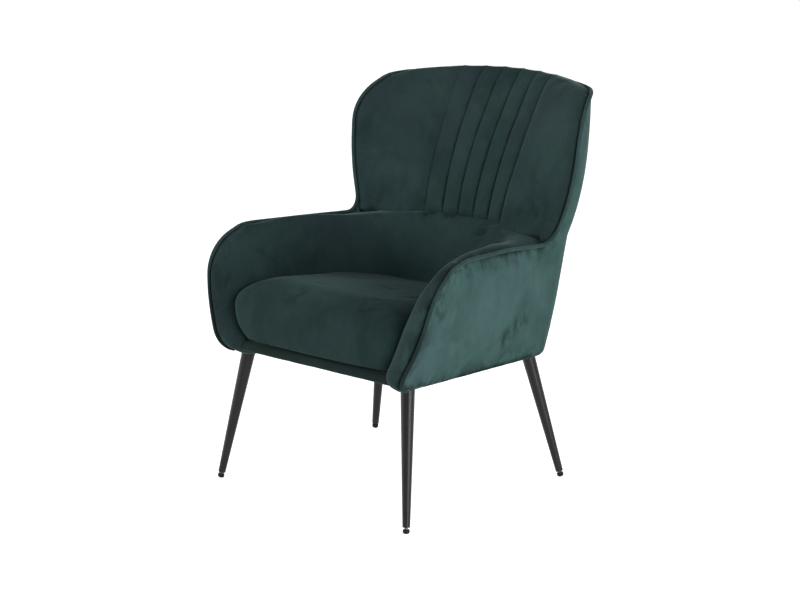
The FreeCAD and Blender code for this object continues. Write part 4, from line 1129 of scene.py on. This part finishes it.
SEAT_FOLDS = (
    ((20.0, -60.0, 452.0), (80.0, -75.0, 450.0), 8.0, 2.2),
    ((-90.0, -150.0, 456.0), (-40.0, -158.0, 456.0), 8.0, 1.8),
    ((150.0, -120.0, 448.0), (190.0, -60.0, 440.0), 9.0, 2.6),
    ((120.0, -190.0, 447.0), (175.0, -170.0, 440.0), 9.0, 2.0),
)


def make_seat():
    start = seat_belly + 22.0
    heights = [mix(seat_bottom + 2.0, start, i / 16.0) for i in range(16)]
    heights += [start + (seat_top - start) * math.sin(math.pi / 2.0 * i / 22.0) for i in range(23)]
    rows = []
    for z in heights:
        tuck = max(seat_belly - z, 0.0) / (seat_belly - seat_bottom)
        side = seat_crown * quarter(z, start) ** 1.3 + 3.0 * tuck ** 2
        front = seat_front_y + seat_roll * quarter(z, seat_belly) ** 1.3 + 16.0 * tuck ** 2
        rows.append(seat_row(z, side, front))
    rim = np.array(rows[-1])
    columns = len(rim)
    centre = np.array((0.0, (rim[0, 1] + rim[columns // 2, 1]) / 2.0))
    arms = rim[:, :2] - centre
    order = np.argsort(np.arctan2(arms[:, 1], arms[:, 0]))
    angles, reaches = np.arctan2(arms[:, 1], arms[:, 0])[order], np.hypot(arms[:, 0], arms[:, 1])[order]

    # Share of the way from the middle of the top to its rim
    def share(x, y):
        angle = math.atan2(y - centre[1], x - centre[0])
        reach = np.interp(angle, angles, reaches, period=2.0 * math.pi)
        return math.hypot(x - centre[0], y - centre[1]) / reach
    step = 8.0
    lines = range(int(rim[:, 1].min() / step), int(rim[:, 1].max() / step) + 1)
    inner = [((j + 0.5 * (i % 2)) * step, i * step) for i in lines for j in range(-40, 41)]
    flat = [Vector(p) for p in rim[:, :2].tolist() + [p for p in inner if share(*p) < 0.975]]
    verts, _, top_faces, _, _, _ = delaunay_2d_cdt(flat, [], [list(range(columns))], 1, 1e-4)
    rows.insert(0, [(x * 0.9, mix(centre[1], y, 0.9), z - 1.0) for x, y, z in rows[0]])
    raw = [p for row in rows for p in row]
    offset = len(raw)
    for x, y in verts:
        swell = seat_swell * (1.0 - min(share(x, y), 1.0) ** 2)
        raw.append((x, y, seat_top - seat_fall * (y - seat_level_y) + swell))
    points = []
    for p in raw:
        q = Vector(p)
        q.z += 1.2 * ripple(p, 95.0, 21.0) * smooth((p[2] - 380.0) / 60.0)
        for line in SEAT_FOLDS:
            q.z -= fold(p, *line)
        points.append(tuple(q))
    faces = grid_faces(len(rows), columns, True) + [tuple(range(columns))]
    faces += [tuple(n + offset for n in f) for f in top_faces]
    obj = make_object("seat_cushion", points, faces, seat_velvet)
    recalc(obj)
    return obj


def read(items, name, width, kind=float):
    values = np.empty(len(items) * width, dtype=kind)
    items.foreach_get(name, values)
    return values.reshape(-1, width)


# Evens out the moves of a mesh's points along its edges
def even_moves(mesh, move, rounds):
    a, b = read(mesh.edges, "vertices", 2, np.int32).T
    count = np.bincount(np.concatenate([a, b]), minlength=len(move))[:, None]
    for _ in range(rounds):
        total = np.zeros_like(move)
        np.add.at(total, a, move[b])
        np.add.at(total, b, move[a])
        move = 0.5 * move + 0.5 * total / np.maximum(count, 1)
    return move


# Cloth simulation: each cover swells over its filling while its seams hold it; movement is capped
def settle(pieces, frames=20, rounds=10):
    scene = bpy.context.scene
    scene.frame_start, scene.frame_end = 1, frames
    for obj, held, pressure, slack, _ in pieces:
        group = obj.vertex_groups.new(name="held")
        for index, weight in enumerate(held):
            if weight > 0.0:
                group.add([index], float(weight), "REPLACE")
        mod = obj.modifiers.new("swell", "CLOTH")
        mod.point_cache.frame_start, mod.point_cache.frame_end = 1, frames
        mod.collision_settings.use_collision = False
        soft = mod.settings
        soft.quality, soft.mass, soft.air_damping = 4, 0.3, 3.0
        soft.tension_stiffness, soft.compression_stiffness = 14.0, 14.0
        soft.shear_stiffness, soft.bending_stiffness = 5.0, 0.8
        soft.vertex_group_mass, soft.pin_stiffness = "held", 1.0
        soft.use_pressure, soft.uniform_pressure_force = True, pressure
        soft.shrink_min = -slack
        soft.effector_weights.gravity = 0.0
    for number in range(1, frames + 1):
        scene.frame_set(number)
    graph = bpy.context.evaluated_depsgraph_get()
    moved = []
    for obj, *_ in pieces:
        shaped = obj.evaluated_get(graph)
        moved.append(read(shaped.to_mesh().vertices, "co", 3))
        shaped.to_mesh_clear()
    for (obj, held, _, _, most), after in zip(pieces, moved):
        obj.modifiers.remove(obj.modifiers["swell"])
        before = read(obj.data.vertices, "co", 3)
        move = even_moves(obj.data, after - before, rounds) * (1.0 - np.asarray(held)[:, None])
        size = np.linalg.norm(move, axis=1, keepdims=True)
        move *= most * np.tanh(size / most) / np.maximum(size, 1e-9)
        obj.data.vertices.foreach_set("co", (before + move).ravel())
        obj.data.update()
    scene.frame_set(1)


# Weight of 1 well below a height in mm, fading to 0 over the span up to it
def held_below(obj, height, span):
    return fade(height - read(obj.data.vertices, "co", 3)[:, 2] * 1000.0, span)


def layer_of(obj, name):
    return read(obj.data.attributes[name].data, "value", 1)[:, 0]


band, pad, seat = make_band(), make_pad(), make_seat()
band_held = np.maximum(layer_of(band, "rub") ** 0.5 * 0.9, held_below(band, 350.0, 20.0))
pad_held = np.maximum(layer_of(pad, "groove"), held_below(pad, 572.0, 10.0))
pad_held = np.maximum(pad_held, layer_of(pad, "rub") ** 2.0)
seat_held = held_below(seat, 352.0, 14.0)
settle(((band, band_held, 2.0, 0.01, 0.005), (pad, pad_held, 2.5, 0.015, 0.005),
        (seat, seat_held, 3.0, 0.015, 0.008)))

for piece in (band, pad):
    thicken(piece, 0.003)
for piece in (band, pad, seat):
    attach(piece, "chair")
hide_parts("inner_arm_cover_right", "inner_arm_cover_left", "lumbar_cover", "arm_toe_right",
            "arm_toe_left", "arm_foam_right", "arm_foam_left", "lumbar_foam")
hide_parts("inner_back_cover", "back_foam")
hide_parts("seat_cover", "seat_foam")

# Cloth-covered strip under the seat's front edge
rail_low, rail_high = (corner * 1000.0 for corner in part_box("front_rail_cover"))
rail_half, rail_bottom, rail_top = rail_high.x, rail_low.z, rail_high.z
rail_front, rail_rear = rail_low.y + middle, rail_high.y + middle


def make_strip():
    middle_y, middle_z = (rail_front + rail_rear) / 2.0, (rail_bottom + rail_top) / 2.0
    section = [(rail_rear, rail_bottom + 0.5), (rail_rear, rail_top - 0.5)]
    for i in range(25):
        angle = math.pi * (1.25 - i / 24.0) + 0.25
        y = mix(rail_front, rail_rear, 0.42) + math.cos(angle) * (rail_rear - rail_front) * 0.42
        section.append((y, middle_z + math.sin(angle) * (rail_top - rail_bottom) / 2.0))
    section.sort(key=lambda p: math.atan2(p[1] - middle_z, p[0] - middle_y))
    count = 120
    points = []
    for i in range(count + 1):
        x = mix(-rail_half, rail_half, i / count)
        for y, z in section:
            lift = 0.8 * ripple((x, y, z), 30.0, 31.0) + 0.5 * ripple((x, y, z), 110.0, 33.0)
            if y >= rail_rear - 4.0:
                lift = 0.0
            points.append((x, y + lift, z + 0.5 * lift))
    obj = make_object("front_strip", points, run_faces(count + 1, len(section)), strip_velvet)
    recalc(obj)
    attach(obj, "chair")
    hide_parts("front_rail_cover")


# Black lining behind the strip, under the cushion's front
def make_lining():
    section = ((rail_rear - 4.0, rail_top - 6.0), (rail_rear - 3.0, rail_top + 1.5),
               (rail_rear + 6.0, rail_top + 3.2), (rail_rear + 60.0, rail_top + 3.6))
    half = rail_half - 1.0
    points = [(mix(-half, half, i / 40.0), y, z) for i in range(41) for y, z in section]
    obj = make_object("seat_lining", points, grid_faces(41, len(section)), strap_cloth)
    thicken(obj, 0.0006, 0.0)
    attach(obj, "chair")


# Velvet tucked down between the arm's top and the foot of the wing
def make_tuck(name, sign):
    points = []
    for i in range(25):
        y = mix(140.0, 285.0, i / 24.0)
        for j in range(9):
            t = j / 8.0
            z = 540.0 - 9.0 * math.sin(math.pi * t) + 3.0 * (1.0 - t)
            points.append((sign * mix(shell(z).x_at(y, 3.4), shell(z).x_at(y, 60.0), t), y, z))
    obj = make_object(name, points, grid_faces(25, 9), band_velvet)
    recalc(obj)
    thicken(obj, 0.0012, 0.0)
    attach(obj, "chair")


make_lining()
make_tuck("arm_tuck_right", 1.0)
make_tuck("arm_tuck_left", -1.0)
make_strip()

# Camera at the photograph's viewpoint
camera_azimuth, camera_elevation = math.radians(41.96), math.radians(13.28)
camera_place = Vector((2.958, -3.257 - middle * 0.001, 1.447))
camera_focal_px, photo_width = 2040.66, 800.0
scene = bpy.context.scene
cam_data = bpy.data.cameras.new("camera")
cam = bpy.data.objects.new("camera", cam_data)
scene.collection.objects.link(cam)
cam_data.sensor_width = 36.0
cam_data.lens = camera_focal_px / photo_width * cam_data.sensor_width
back = Vector((math.sin(camera_azimuth) * math.cos(camera_elevation),
               -math.cos(camera_azimuth) * math.cos(camera_elevation), math.sin(camera_elevation)))
cam.location = camera_place
cam.rotation_mode = "QUATERNION"
cam.rotation_quaternion = (-back).to_track_quat("-Z", "Y")
scene.camera = cam

# White studio: floor, world and soft lamps
floor_size, floor_glow, world_light = 6.0, 0.76, 0.33


# Rays that show the background itself, the camera's and those of gloss and glass, see another shader
def split_rays(nodes, links, lit, shown, output):
    path = nodes.new("ShaderNodeLightPath")
    seen = path.outputs["Is Camera Ray"]
    for ray in ("Is Glossy Ray", "Is Transmission Ray"):
        larger = add_node(nodes, "ShaderNodeMath", operation="MAXIMUM")
        links.new(seen, larger.inputs[0])
        links.new(path.outputs[ray], larger.inputs[1])
        seen = larger.outputs[0]
    either = nodes.new("ShaderNodeMixShader")
    for value, socket in zip((seen, lit.outputs[0], shown.outputs[0]), either.inputs):
        links.new(value, socket)
    links.new(either.outputs[0], output.inputs["Surface"])


def make_floor():
    corners = [(x * floor_size, y * floor_size, 0.0) for x, y in ((-1, -1), (1, -1), (1, 1), (-1, 1))]
    mesh = bpy.data.meshes.new("floor")
    mesh.from_pydata(corners, [], [(0, 1, 2, 3)])
    floor = bpy.data.objects.new("floor", mesh)
    scene.collection.objects.link(floor)
    material, nodes, links, shader = new_material("floor_white")
    cloud = add_node(nodes, "ShaderNodeTexNoise", Scale=2.0, Detail=3.0)
    tint = ramp(nodes, [(0.3, (0.86, 0.86, 0.86)), (0.7, (0.9, 0.9, 0.9))])
    links.new(cloud.outputs["Fac"], tint.inputs["Fac"])
    links.new(tint.outputs["Color"], shader.inputs["Base Color"])
    shader.inputs["Roughness"].default_value = 0.7
    glow = add_node(nodes, "ShaderNodeEmission", Strength=floor_glow)
    total = add_node(nodes, "ShaderNodeAddShader")
    links.new(shader.outputs[0], total.inputs[0])
    links.new(glow.outputs[0], total.inputs[1])
    split_rays(nodes, links, shader, total, nodes["Material Output"])
    mesh.materials.append(material)


def make_world():
    world = bpy.data.worlds.new("studio")
    world.use_nodes = True
    nodes, links = world.node_tree.nodes, world.node_tree.links
    lit, shown = nodes["Background"], nodes.new("ShaderNodeBackground")
    for background, strength in ((lit, world_light), (shown, 1.0)):
        background.inputs["Color"].default_value = (1.0, 1.0, 1.0, 1.0)
        background.inputs["Strength"].default_value = strength
    split_rays(nodes, links, lit, shown, nodes["World Output"])
    scene.world = world


def area_lamp(name, place, target, size, power):
    data = bpy.data.lights.new(name, "AREA")
    data.shape = "RECTANGLE"
    data.size, data.size_y = size
    data.energy = power
    lamp = bpy.data.objects.new(name, data)
    scene.collection.objects.link(lamp)
    lamp.location = place
    lamp.rotation_mode = "QUATERNION"
    lamp.rotation_quaternion = (Vector(target) - Vector(place)).to_track_quat("-Z", "Y")


make_floor()
make_world()
area_lamp("key", (3.2, -0.6, 1.1), (0.1, 0.0, 0.5), (2.0, 2.0), 100.0)
area_lamp("fill", (-2.6, -2.6, 1.5), (0.0, 0.0, 0.6), (1.6, 1.6), 95.0)
area_lamp("top", (0.0, 0.2, 3.4), (0.0, 0.0, 0.6), (2.6, 2.6), 4.0)

scene.view_settings.view_transform = "Standard"
